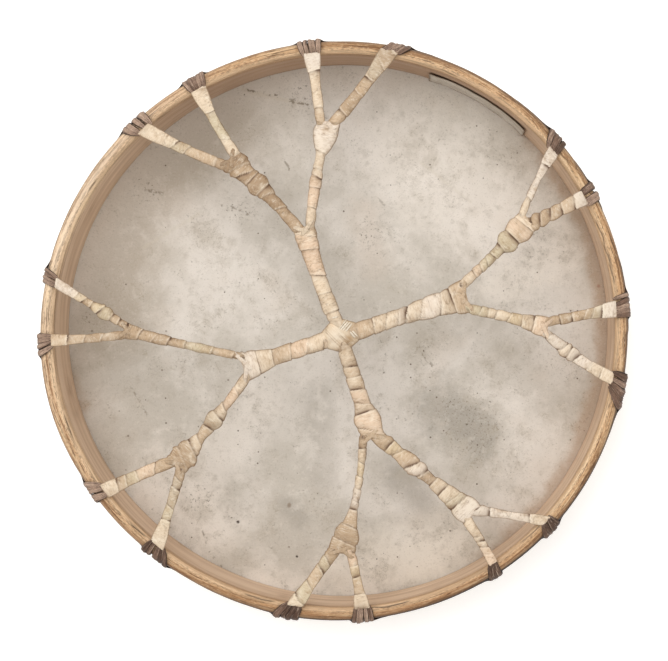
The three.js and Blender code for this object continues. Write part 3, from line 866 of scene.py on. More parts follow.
# %% Tree for a band along a path
tree = bpy.data.node_groups.new("Band along a path", "GeometryNodeTree")
band_tree = tree
band_inputs = {}
tree_inputs = [
    ("Line", "Geometry", None), ("Ring Step", "Float", 0.4 * mm), ("Sides", "Int", 24),
    ("Underside", "Float", 1.0), ("Lip", "Float", 0.0), ("Bulge", "Float", 0.0), ("Swell", "Float", 0.0),
    ("Lump Depth", "Float", 0.0), ("Lumps Along", "Float", 150.0), ("Lumps Around", "Float", 1.0),
    ("Crinkle Depth", "Float", 0.0), ("Crinkles Along", "Float", 600.0), ("Crinkles Around", "Float", 3.0),
    ("Seed", "Int", 1), ("Material", "Material", None),
]
for name, kind, default in tree_inputs:
    item = tree.interface.new_socket(name, in_out="INPUT", socket_type="NodeSocket" + kind)
    if default is not None:
        item.default_value = default
    band_inputs[name] = item.identifier
tree.interface.new_socket("Band", in_out="OUTPUT", socket_type="NodeSocketGeometry")
given = add("NodeGroupInput").outputs


def kept(name, kind="FLOAT"):
    """Read a value that is kept on the points."""
    return add("GeometryNodeInputNamedAttribute", {"Name": name}, data_type=kind).outputs[0]


def keep(geometry, name, value, kind="FLOAT"):
    """Keep a value on the points, so that it survives the next steps."""
    sockets = {"Geometry": geometry, "Name": name, "Value": value}
    return add("GeometryNodeStoreNamedAttribute", sockets, data_type=kind, domain="POINT").outputs[0]


def wrinkles(along_scale, around_scale, detail):
    """Noise along and round the band, centred on nothing, that differs from strand to strand."""
    where = vector(times(kept("along"), along_scale), times(kept("round_x"), around_scale),
                   times(kept("round_y"), around_scale))
    own = times_plus(kept("strand"), 7.3, given["Seed"])
    sockets = {"Vector": where, "W": own, "Scale": 1.0, "Detail": detail}
    fac = add("ShaderNodeTexNoise", sockets, noise_dimensions="4D").outputs["Fac"]
    return times_plus(fac, 2.0, -1.0)


# The line becomes a curve with even steps, and every step remembers where it is
curve = add("GeometryNodeMeshToCurve", {"Mesh": given["Line"]}).outputs[0]
curve = add("GeometryNodeResampleCurve", {"Curve": curve, "Length": given["Ring Step"]},
            mode="LENGTH").outputs[0]
position = add("GeometryNodeInputPosition").outputs[0]
curve = keep(curve, "axis_point", position, "FLOAT_VECTOR")
curve = keep(curve, "along", add("GeometryNodeSplineParameter").outputs["Length"])

# A circle is carried along the curve, and every corner of it remembers where on the circle it is
profile = add("GeometryNodeCurvePrimitiveCircle", {"Resolution": given["Sides"], "Radius": 1.0})
corner = parts_of(position)
profile = keep(profile.outputs[0], "round_x", corner[0])
profile = keep(profile, "round_y", corner[1])
skin = add("GeometryNodeCurveToMesh", {"Curve": curve, "Profile Curve": profile, "Fill Caps": True})
skin = skin.outputs[0]

# Each turn of the wrapping is a shallow saw tooth, with a random height of its own
slant = sums("DIVIDE", times(kept("round_x"), kept("lean")), kept("turn_length"))
turns = plus(slant, kept("turns"))
turns = times_plus(wrinkles(90.0, 0.8, 2.0), 0.07, turns)
skin = keep(skin, "turn", sums("FLOOR", turns))
skin = keep(skin, "within", sums("FRACT", turns))
tooth = minus(1.0, kept("within"))
tooth = times(sums("POWER", tooth, 1.5), given["Lip"])
hump = sums("SINE", times(kept("within"), math.pi))
own = vector(kept("turn"), given["Seed"], 0.5)
chance = add("ShaderNodeTexWhiteNoise", {"Vector": own}, noise_dimensions="3D").outputs["Value"]
own_height = times(minus(chance, 0.5), given["Swell"])
bulge = times(kept("swollen"), given["Bulge"])
relief = plus(times_plus(hump, bulge, tooth), own_height)
lumps_made = wrinkles(given["Lumps Along"], given["Lumps Around"], 2.0)
crinkles_made = wrinkles(given["Crinkles Along"], given["Crinkles Around"], 3.0)
relief = times_plus(lumps_made, given["Lump Depth"], relief)
relief = times_plus(crinkles_made, given["Crinkle Depth"], relief)
relief = times(relief, kept("relief_share"))
skin = keep(skin, "height", plus(lumps_made, times(crinkles_made, 0.5)))

# Every corner goes to its place beside its step of the path
wide = times(plus(kept("half_width"), relief), kept("round_x"))
lowest = times(given["Underside"], -1.0)
rise = sums("MAXIMUM", kept("round_y"), lowest)
tall = times(plus(kept("half_height"), relief), rise)
aside = arrows("SCALE", kept("axis_side", "FLOAT_VECTOR"), wide)
above = arrows("SCALE", kept("axis_up", "FLOAT_VECTOR"), tall)
moved = arrows("ADD", arrows("ADD", aside, above), kept("axis_point", "FLOAT_VECTOR"))
skin = add("GeometryNodeSetPosition", {"Geometry": skin, "Position": moved}).outputs[0]
skin = add("GeometryNodeSetShadeSmooth", {0: skin}).outputs[0]
skin = add("GeometryNodeRealizeInstances", {0: skin}).outputs[0]
skin = add("GeometryNodeSetMaterial", {"Geometry": skin, "Material": given["Material"]}).outputs[0]
add("NodeGroupOutput", {0: skin})
print("band tree has", len(tree.nodes), "nodes")

# %% [markdown]
# A line for that tree is a plain mesh of points and edges, with the path's facts as attributes. One line may
# hold several strands. The finished band is turned into a plain mesh, because the export needs one.

# %% Line and band
vector_facts = ["axis_side", "axis_up"]


def make_line(name, strands):
    """A line from strands. Each strand is a dictionary of a path and the facts at each of its points."""
    points = np.concatenate([strand["path"] for strand in strands])
    edges = []
    first = 0
    for strand in strands:
        last = first + len(strand["path"])
        edges += [(one, one + 1) for one in range(first, last - 1)]
        first = last
    mesh = bpy.data.meshes.new(name)
    mesh.from_pydata(points.tolist(), edges, [])
    for fact in strands[0]:
        if fact == "path":
            continue
        values = np.concatenate([strand[fact] for strand in strands]).astype(np.float32)
        if fact in vector_facts:
            mesh.attributes.new(fact, "FLOAT_VECTOR", "POINT").data.foreach_set("vector", values.ravel())
        else:
            mesh.attributes.new(fact, "FLOAT", "POINT").data.foreach_set("value", values)
    line = bpy.data.objects.new(name + "_line", mesh)
    bpy.context.collection.objects.link(line)
    return line


def make_band(name, strands, material, settings):
    """Run the tree on a line and keep the result as a plain mesh."""
    line = make_line(name, strands)
    modifier = line.modifiers.new("Band", "NODES")
    modifier.node_group = band_tree
    for label, value in {**settings, "Material": material}.items():
        modifier[band_inputs[label]] = value
    bpy.context.view_layer.update()
    evaluated = line.evaluated_get(bpy.context.evaluated_depsgraph_get())
    mesh = bpy.data.meshes.new_from_object(evaluated)
    mesh.name = name
    bpy.data.objects.remove(line)
    piece = bpy.data.objects.new(name, mesh)
    bpy.context.collection.objects.link(piece)
    return piece


print("band helpers ready")

# %% [markdown]
# Every limb of the web is measured on its own solid, ring by ring, from the end near the centre knot. Smooth
# curves through those measures give the path, so the wrapped limb lies where its solid lies.

# %% Measure the limbs
hub_low, hub_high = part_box("centre_knot")
hub = np.array((hub_low + hub_high) / 2)
solid_sides = 8


def limb_rings(name):
    """The rings of a limb's solid: middle, sideways direction, half width and half height of each."""
    points = solid_points(name)
    away = points.mean(0) - hub
    spread = np.linalg.svd(points[:, :2] - points[:, :2].mean(0))[2][0]
    heading = np.array([*spread, 0]) * np.sign(spread @ away[:2])
    ordered = points[np.argsort(points @ heading)]
    end = solid_sides + 1
    middle_rings = ordered[end:-end].reshape(-1, solid_sides, 3)
    rings = []
    for ring in [ordered[:end], *middle_rings, ordered[-end:]]:
        middle = (ring.min(0) + ring.max(0)) / 2
        sideways = np.linalg.svd(ring[:, :2] - middle[:2])[2][0]
        left = np.array([-heading[1], heading[0]])
        sideways = np.array([*sideways, 0]) * np.sign(sideways @ left)
        half_width = np.abs((ring - middle) @ sideways).max()
        half_height = np.ptp(ring[:, 2]) / 2
        rings.append((middle, sideways, half_width, half_height))
    return [np.array(column) for column in zip(*rings)]


def through(known, values, at):
    """A smooth curve through known values, held straight beyond its ends."""
    slopes = np.gradient(values, known, axis=0)
    index = np.clip(np.searchsorted(known, at) - 1, 0, len(known) - 2)
    width = known[index + 1] - known[index]
    share = np.clip((at - known[index]) / width, 0, 1)
    beyond = at - np.clip(at, known[0], known[-1])
    shape = (-1,) + (1,) * (values.ndim - 1)
    share, width, beyond = share.reshape(shape), width.reshape(shape), beyond.reshape(shape)
    near, far = values[index], values[index + 1]
    result = (near * (1 + 2 * share) * (1 - share) ** 2 + far * (3 - 2 * share) * share ** 2
              + slopes[index] * width * share * (1 - share) ** 2
              + slopes[index + 1] * width * share ** 2 * (share - 1))
    end_slope = np.where(beyond < 0, slopes[index], slopes[index + 1])
    return result + end_slope * beyond


limb_names = [n for n in nodes if n.startswith(("trunk_", "bough_", "twig_"))]
limb_measures = {name: limb_rings(name) for name in limb_names}
print(len(limb_names), "limbs; total length",
      round(sum(np.linalg.norm(np.diff(m[0], axis=0), axis=1).sum() for m in limb_measures.values()), 3), "m")

# %% [markdown]
# Raw hide that is cut in strips and wound wet dries hard, like parchment: cream, with peach, greenish and
# brown turns, and dirt with painted shade in the seams. The turn's own colour is kept on the points, and
# noise breaks it up. Painted shade darkens the sides and undersides, and a pale line on each raised turn edge
# is wear with a painted highlight.

# %% Rawhide
rawhide, tree, shader = new_material("wound_rawhide", 0.5, 0.4)
place = object_place()
tint = attribute("tint", "Color")
mottle = noise(place, 170, 4, 0.6)
patches = noise(place, 75, 4, 0.6, 0.5)
fibres = noise(round_band(1300, 1.6), 1.0, 3, 0.6)
creases = winding(noise(round_band(230, 0.5), 1.0, 3, 0.55, 0.2), 0.016)
specks = noise(place, 1100, 2)
surface = layers(tint, [
    (patches, 0.5, 0.7, 0.45, (184, 156, 124)), (patches, 0.48, 0.3, 0.3, (230, 216, 194)),
    (mottle, 0.52, 0.72, 0.45, (172, 144, 112)), (mottle, 0.46, 0.3, 0.4, (234, 220, 198)),
    (fibres, 0.52, 0.68, 0.38, (160, 130, 98)), (fibres, 0.46, 0.3, 0.38, (240, 229, 210)),
    (specks, 0.63, 0.75, 0.4, (120, 94, 70)),
])
marked = times(creases, pick(patches, 0.44, 0.56, 0, 0.45))
# A pale line past each seam is wear with a painted highlight on the raised edge. The sides and undersides get
# painted shade. The darkening before each seam and the seam line are dirt with painted shade where one turn
# overlaps the next; on the knot that darkening is painted shade underneath.
surface = layers(surface, [
    (marked, (136, 104, 72)), (attribute("edge"), (240, 228, 208)),
    (attribute("height"), -0.1, -0.5, 0.3, (150, 120, 86)),
    (attribute("round_y"), 0.6, 0.12, 0.75, (126, 98, 68)), (attribute("grime_and_shade"), (116, 86, 58)),
    (attribute("seam"), (86, 60, 40)),
])
relief = times_plus(marked, -0.5, times_plus(fibres, 0.5, mottle))
finish_material(shader, surface, pick(mottle, 0.3, 0.7, 0.45, 0.65), relief, 0.9 * mm, 1.0)
print("rawhide has", len(tree.nodes), "nodes")

# %% [markdown]
# The turns are told as in a pattern for hand work: a letter for the colour of each turn and its width in
# millimetres, read outward from the knot. The widths are stretched a little, so that they fill the limb.

# %% Wrap the limbs
turn_colours = {
    "c": (214, 194, 168),  # cream
    "p": (212, 185, 158),  # peach
    "g": (196, 181, 152),  # greenish cream
    "w": (216, 201, 184),  # whitish
    "t": (193, 168, 139),  # tan
    "n": (174, 149, 121),  # dull brown
    "b": (154, 128, 100),  # brown
    "y": (205, 184, 150),  # yellowish
    "e": (188, 171, 147),  # greyish
}
wraps = {
    "trunk_north": "c6 c14 c13 p19 p10 c6",
    "trunk_east": "t11 c9 c9 w5! c11+ w14+ c8+! t10",
    "trunk_south": "c12! t7 c9! p10 c6! p13+ t6!",
    "trunk_west": "c12 p12 t13 c11 w11+",
    "bough_north_west": "n22 b14 n5! b12* n6! n7 b10*",
    "bough_north_middle": "c13 p14 p8! c5 c12 w22*",
    "bough_east_north_east": "c12 p6 g6 g6 g8! g11*! p12* c5",
    "bough_east_south_east": "g9 g6 c6 c10 y10 c9! p11",
    "bough_south_east": "t10! y7 t14! w9*! n9 c9! c9 g5! w13*",
    "bough_south_middle": "n7! c10 y10 c9 w9 w6! t12 n12* n9",
    "bough_south_west": "c14 p17 c8! e12*! t12 c8! n11* n10",
    "bough_west_middle": "n5 t16 g20 t12! n10 t11 n12",
    "twig_01": "t8 n8! t8 n5 g6! w9",
    "twig_02": "t6*! t8*! t8*! t10*! w7",
    "twig_03": "c12 w15 w10! w11",
    "twig_04": "t10! n18 t13! e14 n12",
    "twig_05": "t10 c25! w12",
    "twig_06": "c12 g21 c18",
    "twig_07": "n7 t22 g9! c25",
    "twig_08": "t6! t6! g9*! y7! t6! y6 w17",
    "twig_09": "n15 n12 t12! t11",
    "twig_10": "t12 p13 g8 t7! c10",
    "twig_11": "n6 e6! e13 g9! c18",
    "twig_12": "n8 g8! t15 g14! c5",
    "twig_13": "p9 y8! t12 c10!",
    "twig_14": "c13 c3! c4! p5 p7",
    "twig_15": "w10! w14 w14! c12",
    "twig_16": "w3 w13! c5*! w6*! w10 c9 c9",
}
band_settings = {"Sides": 28, "Lip": 0.42 * mm, "Bulge": 0.32 * mm, "Swell": 0.5 * mm,
                 "Lump Depth": 0.7 * mm, "Crinkle Depth": 0.22 * mm}
into_parent = 3 * mm
into_knot = 7 * mm
past_end = 1.6 * mm
swelling = 4.5

# Where a limb is thicker or thinner than its solid, in mm: how far along, how far that spreads, by how much
reshaped = {
    "trunk_east": [(62, 9, -2.0)], "trunk_south": [(47, 5, 0.6), (58, 5, -1.4)],
    "bough_north_west": [(42, 5, 0.8), (53, 5, -1.6), (64, 6, -1.0)],
    "bough_south_west": [(36, 4, 0.8), (52, 4, -0.6)], "bough_west_middle": [(30, 5, 0.5), (72, 9, -1.3)],
    "bough_south_east": [(46, 5, -0.8)],
}
station_step = 1 * mm


def limb_strand(name, random):
    """The path of a limb and the facts that the tree needs, with its turns counted along it."""
    middles, sideways, half_widths, half_heights = limb_measures[name]
    known = np.concatenate([[0], np.cumsum(np.linalg.norm(np.diff(middles, axis=0), axis=1))])
    is_twig = name.startswith("twig_")
    first = -into_knot if name.startswith("trunk_") and name != "trunk_west" else -into_parent
    last = known[-1] + (0 if is_twig else past_end)
    at = np.linspace(first, last, int((last - first) / station_step) + 1)
    held = np.clip(at, 0, known[-1])
    path = through(known, middles, at)
    across = through(known, sideways, held)
    across /= np.linalg.norm(across, axis=1)[:, None]
    words = wraps[name].split()
    widths = np.array([float(word[1:].strip("*+!")) for word in words]) * mm
    seams = np.concatenate([[0], np.cumsum(widths)]) * (last / widths.sum())
    turns = np.interp(at, seams, np.arange(len(seams))) + 0.001
    turn_lengths = np.interp(at, (seams[1:] + seams[:-1]) / 2, np.diff(seams))
    leans = random.uniform(-0.6, 0.15, len(seams)) * through(known, half_widths, np.clip(seams, 0, known[-1]))
    swollen = np.array([swelling if "*" in word else swelling / 2 if "+" in word else 1.0 for word in words])
    swollen = swollen[np.clip(turns.astype(int), 0, len(words) - 1)]
    ending = 0.6 * mm if is_twig else 1.2 * mm
    close = np.clip((at - at[-1] + ending) / ending, 0, 1)
    close = np.maximum(close, np.clip(1 - (at - first) / (2.5 * mm), 0, 1))
    rounding = np.sqrt(np.clip(1 - (close * 0.97) ** 2, 0, 1))
    least = 0.5 * mm if is_twig else 1.2 * mm
    change = sum((more * mm * np.exp(-((at / mm - middle) / spread) ** 2)
                  for middle, spread, more in reshaped.get(name, [])), np.zeros(len(at)))
    return {
        "path": path,
        "axis_side": across,
        "axis_up": np.tile([0.0, 0, 1], (len(at), 1)),
        "half_width": through(known, half_widths, held) + change - 0.3 * mm - (1 - rounding) * least,
        "half_height": (through(known, half_heights, held) - 0.2 * mm) * (0.35 + 0.65 * rounding),
        "turns": np.minimum(turns, len(widths) - 0.02),
        "turn_length": turn_lengths,
        "relief_share": np.clip(through(known, half_heights, held) / (3 * mm), 0.35, 1.0) * rounding,
        "swollen": swollen,
        "lean": np.interp(at, seams, leans),
        "strand": np.zeros(len(at)),
    }


def store_values(mesh, name, values, kind="FLOAT"):
    if name in mesh.attributes:
        mesh.attributes.remove(mesh.attributes[name])
    layer = mesh.attributes.new(name, kind, "POINT")
    layer.data.foreach_set("color" if kind == "FLOAT_COLOR" else "value", values.astype(np.float32).ravel())


def paint_turns(mesh, words, random):
    """Give every turn its colour, a little lighter or darker by chance, and darken its seam with dirt and
    painted shade.
    """
    count = len(words)
    turn = np.clip(values_of(mesh, "turn").astype(int), 0, count - 1)
    within = values_of(mesh, "within")
    length = values_of(mesh, "turn_length")
    side = values_of(mesh, "round_x")
    tints = np.array([colour(*turn_colours[word[0]]) for word in words])
    tints[:, :3] *= random.uniform(1.02, 1.13, (count, 1))
    gap = (1 - within) * length
    after = within * length
    to_next = 0.45 * np.exp(-gap / (2.5 * mm))[:, None]
    to_last = 0.45 * np.exp(-after / (2.5 * mm))[:, None]
    tint = tints[turn] + to_next * (tints[np.minimum(turn + 1, count - 1)] - tints[turn])
    tint += to_last * (tints[np.maximum(turn - 1, 0)] - tints[turn])
    store_values(mesh, "tint", tint, "FLOAT_COLOR")
    # Seams and the darkening before them are dirt with painted shade under the edge of the next turn.
    deep = np.array([False] + ["!" in word for word in words])
    dark = np.where(deep, 1.0, random.uniform(0.35, 0.95, count + 1))
    seam_width = np.where(deep, 1.0 * mm, 0.45 * mm)
    darkening = np.where(deep, 0.9, random.uniform(0.0, 0.5, count + 1))
    uneven = np.clip(0.62 + 0.6 * np.sin(side * 2.2 + random.uniform(0, 6, count + 1)[turn + 1]), 0.3, 1)
    seam = np.exp(-(gap / seam_width[turn + 1]) ** 2) * dark[turn + 1] * uneven
    seam += 0.35 * np.exp(-(after / (0.35 * mm)) ** 2) * dark[turn]
    store_values(mesh, "seam", np.clip(seam * (turn < count - 1), 0, 1))
    store_values(mesh, "grime_and_shade", darkening[turn + 1] * uneven * np.exp(-gap / (2.3 * mm)))
    # A pale line just past each seam: wear with a painted highlight on the raised edge.
    store_values(mesh, "edge", 0.3 * np.exp(-((after - 0.7 * mm) / (0.5 * mm)) ** 2) * (turn > 0))


def surface_of(pieces):
    """What a strip can lie on: the faces of some pieces, ready to be looked at from above."""
    corners, faces = [], []
    for piece in pieces:
        first = len(corners)
        corners += [Vector(place) for place in places_of(piece.data)]
        faces += [[first + corner for corner in face.vertices] for face in piece.data.polygons]
    return BVHTree.FromPolygons(corners, faces)


def lay_strips(name, node, strips, below, half_width, shade, seed):
    """Thin strips, each from one place to another, that lie on the surface below them."""
    random = np.random.default_rng(seed)
    strands = []
    count = 17
    for number, (start, end) in enumerate(strips):
        stations = np.linspace(start, end, count)
        hits = [below.ray_cast(Vector((*place, 1.0)), Vector((0, 0, -1)))[0] for place in stations]
        highest = max(hit.z for hit in hits if hit)
        heights = [hit.z if hit else highest - 4 * mm for hit in hits]
        heights = np.convolve(np.pad(heights, 1, "edge"), [0.25, 0.5, 0.25], "valid")
        dive = 1.6 * mm * np.abs(np.linspace(-1, 1, count)) ** 6
        path = np.column_stack([stations, heights + 0.05 * mm - dive])
        ahead = np.gradient(path, axis=0)
        side = np.cross([0, 0, 1.0], ahead)
        side /= np.linalg.norm(side, axis=1)[:, None]
        up = np.cross(ahead, side)
        up /= np.linalg.norm(up, axis=1)[:, None]
        ends = np.sin(np.linspace(0.2, math.pi - 0.2, count)) ** 0.35
        strands.append({"path": path, "axis_side": side, "axis_up": up, "half_width": half_width * ends,
                        "half_height": 0.5 * mm * ends, "relief_share": 0.3 * ends,
                        "strand": np.full(count, float(number))})
    settings = {**band_settings, "Ring Step": 0.6 * mm, "Sides": 12, "Seed": seed}
    piece = make_band(name, strands, rawhide, settings)
    tints = np.array([colour(*shade)] * len(strips))
    tints[:, :3] *= random.uniform(0.88, 1.08, (len(strips), 1))
    store_values(piece.data, "tint", tints[values_of(piece.data, "strand").astype(int)], "FLOAT_COLOR")
    finish_piece(piece, [node])


for number, name in enumerate(limb_names):
    random = np.random.default_rng(100 + number)
    strand = limb_strand(name, random)
    band = make_band("wrapped_" + name, [strand], rawhide, {**band_settings, "Seed": number + 1})
    paint_turns(band.data, wraps[name].split(), random)
    finish_piece(band, [name])
    if number % 9 == 0:
        volume = round(volume_of(band.data) * 1e6, 1)
        print(band.name, len(band.data.polygons), "faces, volume", volume, "ml")

# %% [markdown]
# Where a limb forks, the maker carried the strip across the fork both ways to hold it. Two thin straps cross
# there on top of the turns, from a side of the thick limb to the other side of a thin one.

# %% Cross the forks


def side_place(name, at, side):
    """A place near the left (1) or right (-1) side of a limb, so far from its start or, below 0, its end."""
    middles, sideways, half_widths, _ = limb_measures[name]
    known = np.concatenate([[0], np.cumsum(np.linalg.norm(np.diff(middles, axis=0), axis=1))])
    at = np.array([at if at >= 0 else known[-1] + at])
    aside = side * 0.6 * through(known, half_widths, at)[:, None] * through(known, sideways, at)
    return (through(known, middles, at) + aside)[0][:2]


fork_reach = 14 * mm
smooth_forks = ["bough_north_middle", "bough_east_north_east", "bough_south_east"]
starts = {name: limb_measures[name][0][0] for name in limb_names}
forks = 0
for number, name in enumerate(limb_names):
    end = limb_measures[name][0][-1]
    children = [other for other in limb_names
                if other != name and np.linalg.norm(starts[other] - end) < fork_reach]
    if len(children) < 2 or name in smooth_forks:
        continue
    left = limb_measures[name][1][-1]
    children.sort(key=lambda other: (side_place(other, 12 * mm, 0) - end[:2]) @ left[:2])
    right_child, left_child = children[0], children[-1]
    strips = [(side_place(name, -5 * mm, 1), side_place(right_child, 5 * mm, -1)),
              (side_place(name, -4 * mm, -1), side_place(left_child, 5 * mm, 1))]
    below = surface_of([bpy.data.objects["wrapped_" + other] for other in (name, right_child, left_child)])
    shade = turn_colours[wraps[name].split()[-1][0]]
    lay_strips("straps_over_end_of_" + name, name, strips, below, 1.5 * mm, shade, 120 + number)
    forks += 1
print(forks, "forks crossed")

# %% [markdown]
# The centre knot is where the strips cross before they leave for the four trunks. It is a pillow with a
# rounded outline from its solid, with a smooth pale wrap on the left and thin strands that show at the right.

# %% Centre knot
knot_points = solid_points("centre_knot") - hub
knot_angles, knot_radii = polar(knot_points)
widest = abs(knot_points[:, 2]) < 0.1 * mm
order = np.argsort(knot_angles[widest])
corner_angles = knot_angles[widest][order]
corner_radii = knot_radii[widest][order]
outer = around(corner_angles, corner_radii, 0)[:, :2].T
outer = outer[:, np.hypot(*outer) > 3 * mm].T
half_height = (hub_high.z - hub_low.z) / 2


def knot_reach(angle):
    """Where a ray from the knot's middle leaves the outline through its corners."""
    heading = np.stack([np.cos(angle), np.sin(angle)], -1)
    one = outer
    two = np.roll(outer, -1, 0)
    side = two - one
    cross = heading[:, None, 0] * side[None, :, 1] - heading[:, None, 1] * side[None, :, 0]
    cross = np.where(abs(cross) < 1e-12, 1e-12, cross)
    far = (one[None, :, 0] * side[None, :, 1] - one[None, :, 1] * side[None, :, 0]) / cross
    share = (one[None, :, 0] * heading[:, None, 1] - one[None, :, 1] * heading[:, None, 0]) / cross
    hit = (far > 0) & (share > -1e-6) & (share < 1 + 1e-6)
    return np.where(hit, far, np.inf).min(1)


knot_columns = 140
knot_rows = 64
turn = np.radians(np.arange(knot_columns) * 360 / knot_columns)
reach_out = knot_reach(turn) + 1.6 * mm * np.exp(-((np.degrees(turn) - 196) / 26) ** 2)
for _ in range(3):
    reach_out = (np.roll(reach_out, 1) + 2 * reach_out + np.roll(reach_out, -1)) / 4
tilt = np.radians(np.linspace(-88.5, 88.5, knot_rows))[:, None]
share_out = np.cos(tilt) ** 0.75
share_up = np.sign(np.sin(tilt)) * abs(np.sin(tilt)) ** 0.9
px = share_out * (reach_out * np.cos(turn))[None, :]
py = share_out * (reach_out * np.sin(turn))[None, :]
lumps = 0.35 * mm * waves(31, 12, px / 0.009, py / 0.009)
left_swelling = 0.9 * mm * np.exp(-((px / mm + 5) / 6) ** 2 - ((py / mm + 2) / 8) ** 2)
pz = share_up * (half_height - 0.9 * mm + lumps + left_swelling) + 0 * px
grid = np.stack([px, py, pz], -1) + hub
knot = grid_piece("wrapped_centre_knot", grid, closed_rows=False, caps=True)


def patch(x, y, across_x, across_y, turned=0.0):
    """How much of a point of the knot is inside a soft oval, measured in mm from the knot's middle."""
    cos, sin = math.cos(math.radians(turned)), math.sin(math.radians(turned))
    dx, dy = px / mm - x, py / mm - y
    return np.exp(-((dx * cos + dy * sin) / across_x) ** 2 - ((dy * cos - dx * sin) / across_y) ** 2)


tints = np.array(colour(207, 186, 157)) + np.zeros((*px.shape, 4))
# The pale patches on the left are the smooth wrap; the brown ones at the right and below are painted shade.
for shade, amount in [
        ((222, 205, 182), patch(-4, -2, 7, 8)), ((226, 200, 168), patch(-5, 9, 4, 4)),
        ((160, 128, 92), 0.9 * patch(5.5, -3.5, 3, 6, -20)), ((172, 140, 104), 0.8 * patch(5, 6, 5, 3, -40)),
        ((140, 110, 78), 0.9 * patch(3.5, -9, 3, 2.5))]:
    amount = np.clip(amount, 0, 1)[..., None]
    tints = tints * (1 - amount) + np.array(colour(*shade)) * amount
store_values(knot.data, "tint", tints.reshape(-1, 4), "FLOAT_COLOR")
# The knot darkens underneath and at its sides: painted shade.
store_values(knot.data, "grime_and_shade", 0.35 * np.clip(-pz / half_height, 0, 1))
store_values(knot.data, "round_y", share_up + 0 * px)
store_values(knot.data, "height", 0 * px)
store_values(knot.data, "along", (px + py) * 0.7)
finish_piece(knot, ["centre_knot"], rawhide)

# Thin strips cross the knot from its upper right to its middle, and two more cross the start of a trunk
strips = [((8.8, 7.2), (3.3, 0.3)), ((10.3, 6.5), (4.7, -0.1)), ((11.6, 5.8), (6.1, -0.6)),
          ((12.9, 5.1), (8.1, -1)), ((12.9, 0.3), (17, -4.4)), ((11.4, -0.6), (15.2, -5.2)),
          ((-1.5, 8.4), (3.6, 9.6))]
strips = [(np.array(start) * mm, np.array(end) * mm) for start, end in strips]
trunks = [bpy.data.objects["wrapped_" + name] for name in limb_names if name.startswith("trunk_")]
below = surface_of([knot] + trunks)
lay_strips("strips_over_knot", "centre_knot", strips, below, 0.5 * mm, (236, 224, 204), 90)
print("knot", len(knot.data.polygons), "faces, volume", round(volume_of(knot.data) * 1e6, 2), "ml")

# %% [markdown]
# The lashings are old tanned lace: dark brown, wrinkled lengthwise, rubbed pale on the ridges with a painted
# highlight there, and nearly black in the folds and at the sides and underside, which is painted shade. The
# relief that made the wrinkles also tells the material which parts are ridges.

# %% Lace
lace, tree, shader = new_material("tanned_lace", 0.6, 0.3)
place = object_place()
height = attribute("height")
mottle = noise(place, 260, 4, 0.6)
patches = noise(place, 70, 2)
fibre_place = round_band(160, 5.0)
fibres = noise(fibre_place, 1.0, 3, 0.6)
creases = winding(noise(fibre_place, 0.6, 3, 0.6, 0.5), 0.045)
tone = plus(patches, attribute("tone"))
surface = blend(pick(tone, 0.2, 0.8), (190, 160, 138), (130, 101, 83))
# Folds, sides and underside are darkened as painted shade, and the pale ridges are wear with a painted
# highlight.
surface = layers(surface, [
    (pick(tone, 0.85, 1.4), (88, 64, 49)), (height, 0.0, -0.55, 0.85, (64, 45, 34)),
    (height, 0.05, 0.5, 0.9, (210, 184, 162)), (fibres, 0.5, 0.64, 0.7, (78, 56, 42)),
    (fibres, 0.44, 0.3, 0.6, (206, 180, 158)), (times(creases, 0.7), (46, 32, 24)),
    (attribute("round_y"), 0.72, 0.3, 0.92, (42, 29, 22)), (attribute("shade"), (58, 42, 32)),
])
finish_material(shader, surface, pick(mottle, 0.3, 0.7, 0.5, 0.72), plus(fibres, mottle), 0.6 * mm, 0.6)
print("lace has", len(tree.nodes), "nodes")

# %% [markdown]
# A lace comes out from under a strap's end, bends over the rim, slants down over the hem and goes in at its
# own hole. Every lace gets its own path, so neighbours press together on the rim and part below it.

# %% Lashings
lace_settings = {"Ring Step": 0.42 * mm, "Sides": 24, "Underside": 0.45, "Lump Depth": 0.65 * mm,
                 "Lumps Along": 75.0, "Lumps Around": 2.2, "Crinkle Depth": 0.42 * mm,
                 "Crinkles Along": 260.0, "Crinkles Around": 3.8}
lace_half_height = 1.0 * mm
lace_leg_half_height = 0.4 * mm
lace_leg_half_width = 1.4 * mm
under_strap = 2.2 * mm
lift_range = (-0.3, 0.4)
tone_range = (-0.45, 0.45)
hem_highest = float(hem_heights.max())
pale_tie = -0.38
darker_ties = {"01": 0.15, "02": 0.1, "03": 0.5, "04": -0.1, "06": -0.1, "10": -0.1, "11": 0.65, "12": 0.9,
               "13": 0.0, "14": 0.9, "15": 0.8, "16": 0.3}


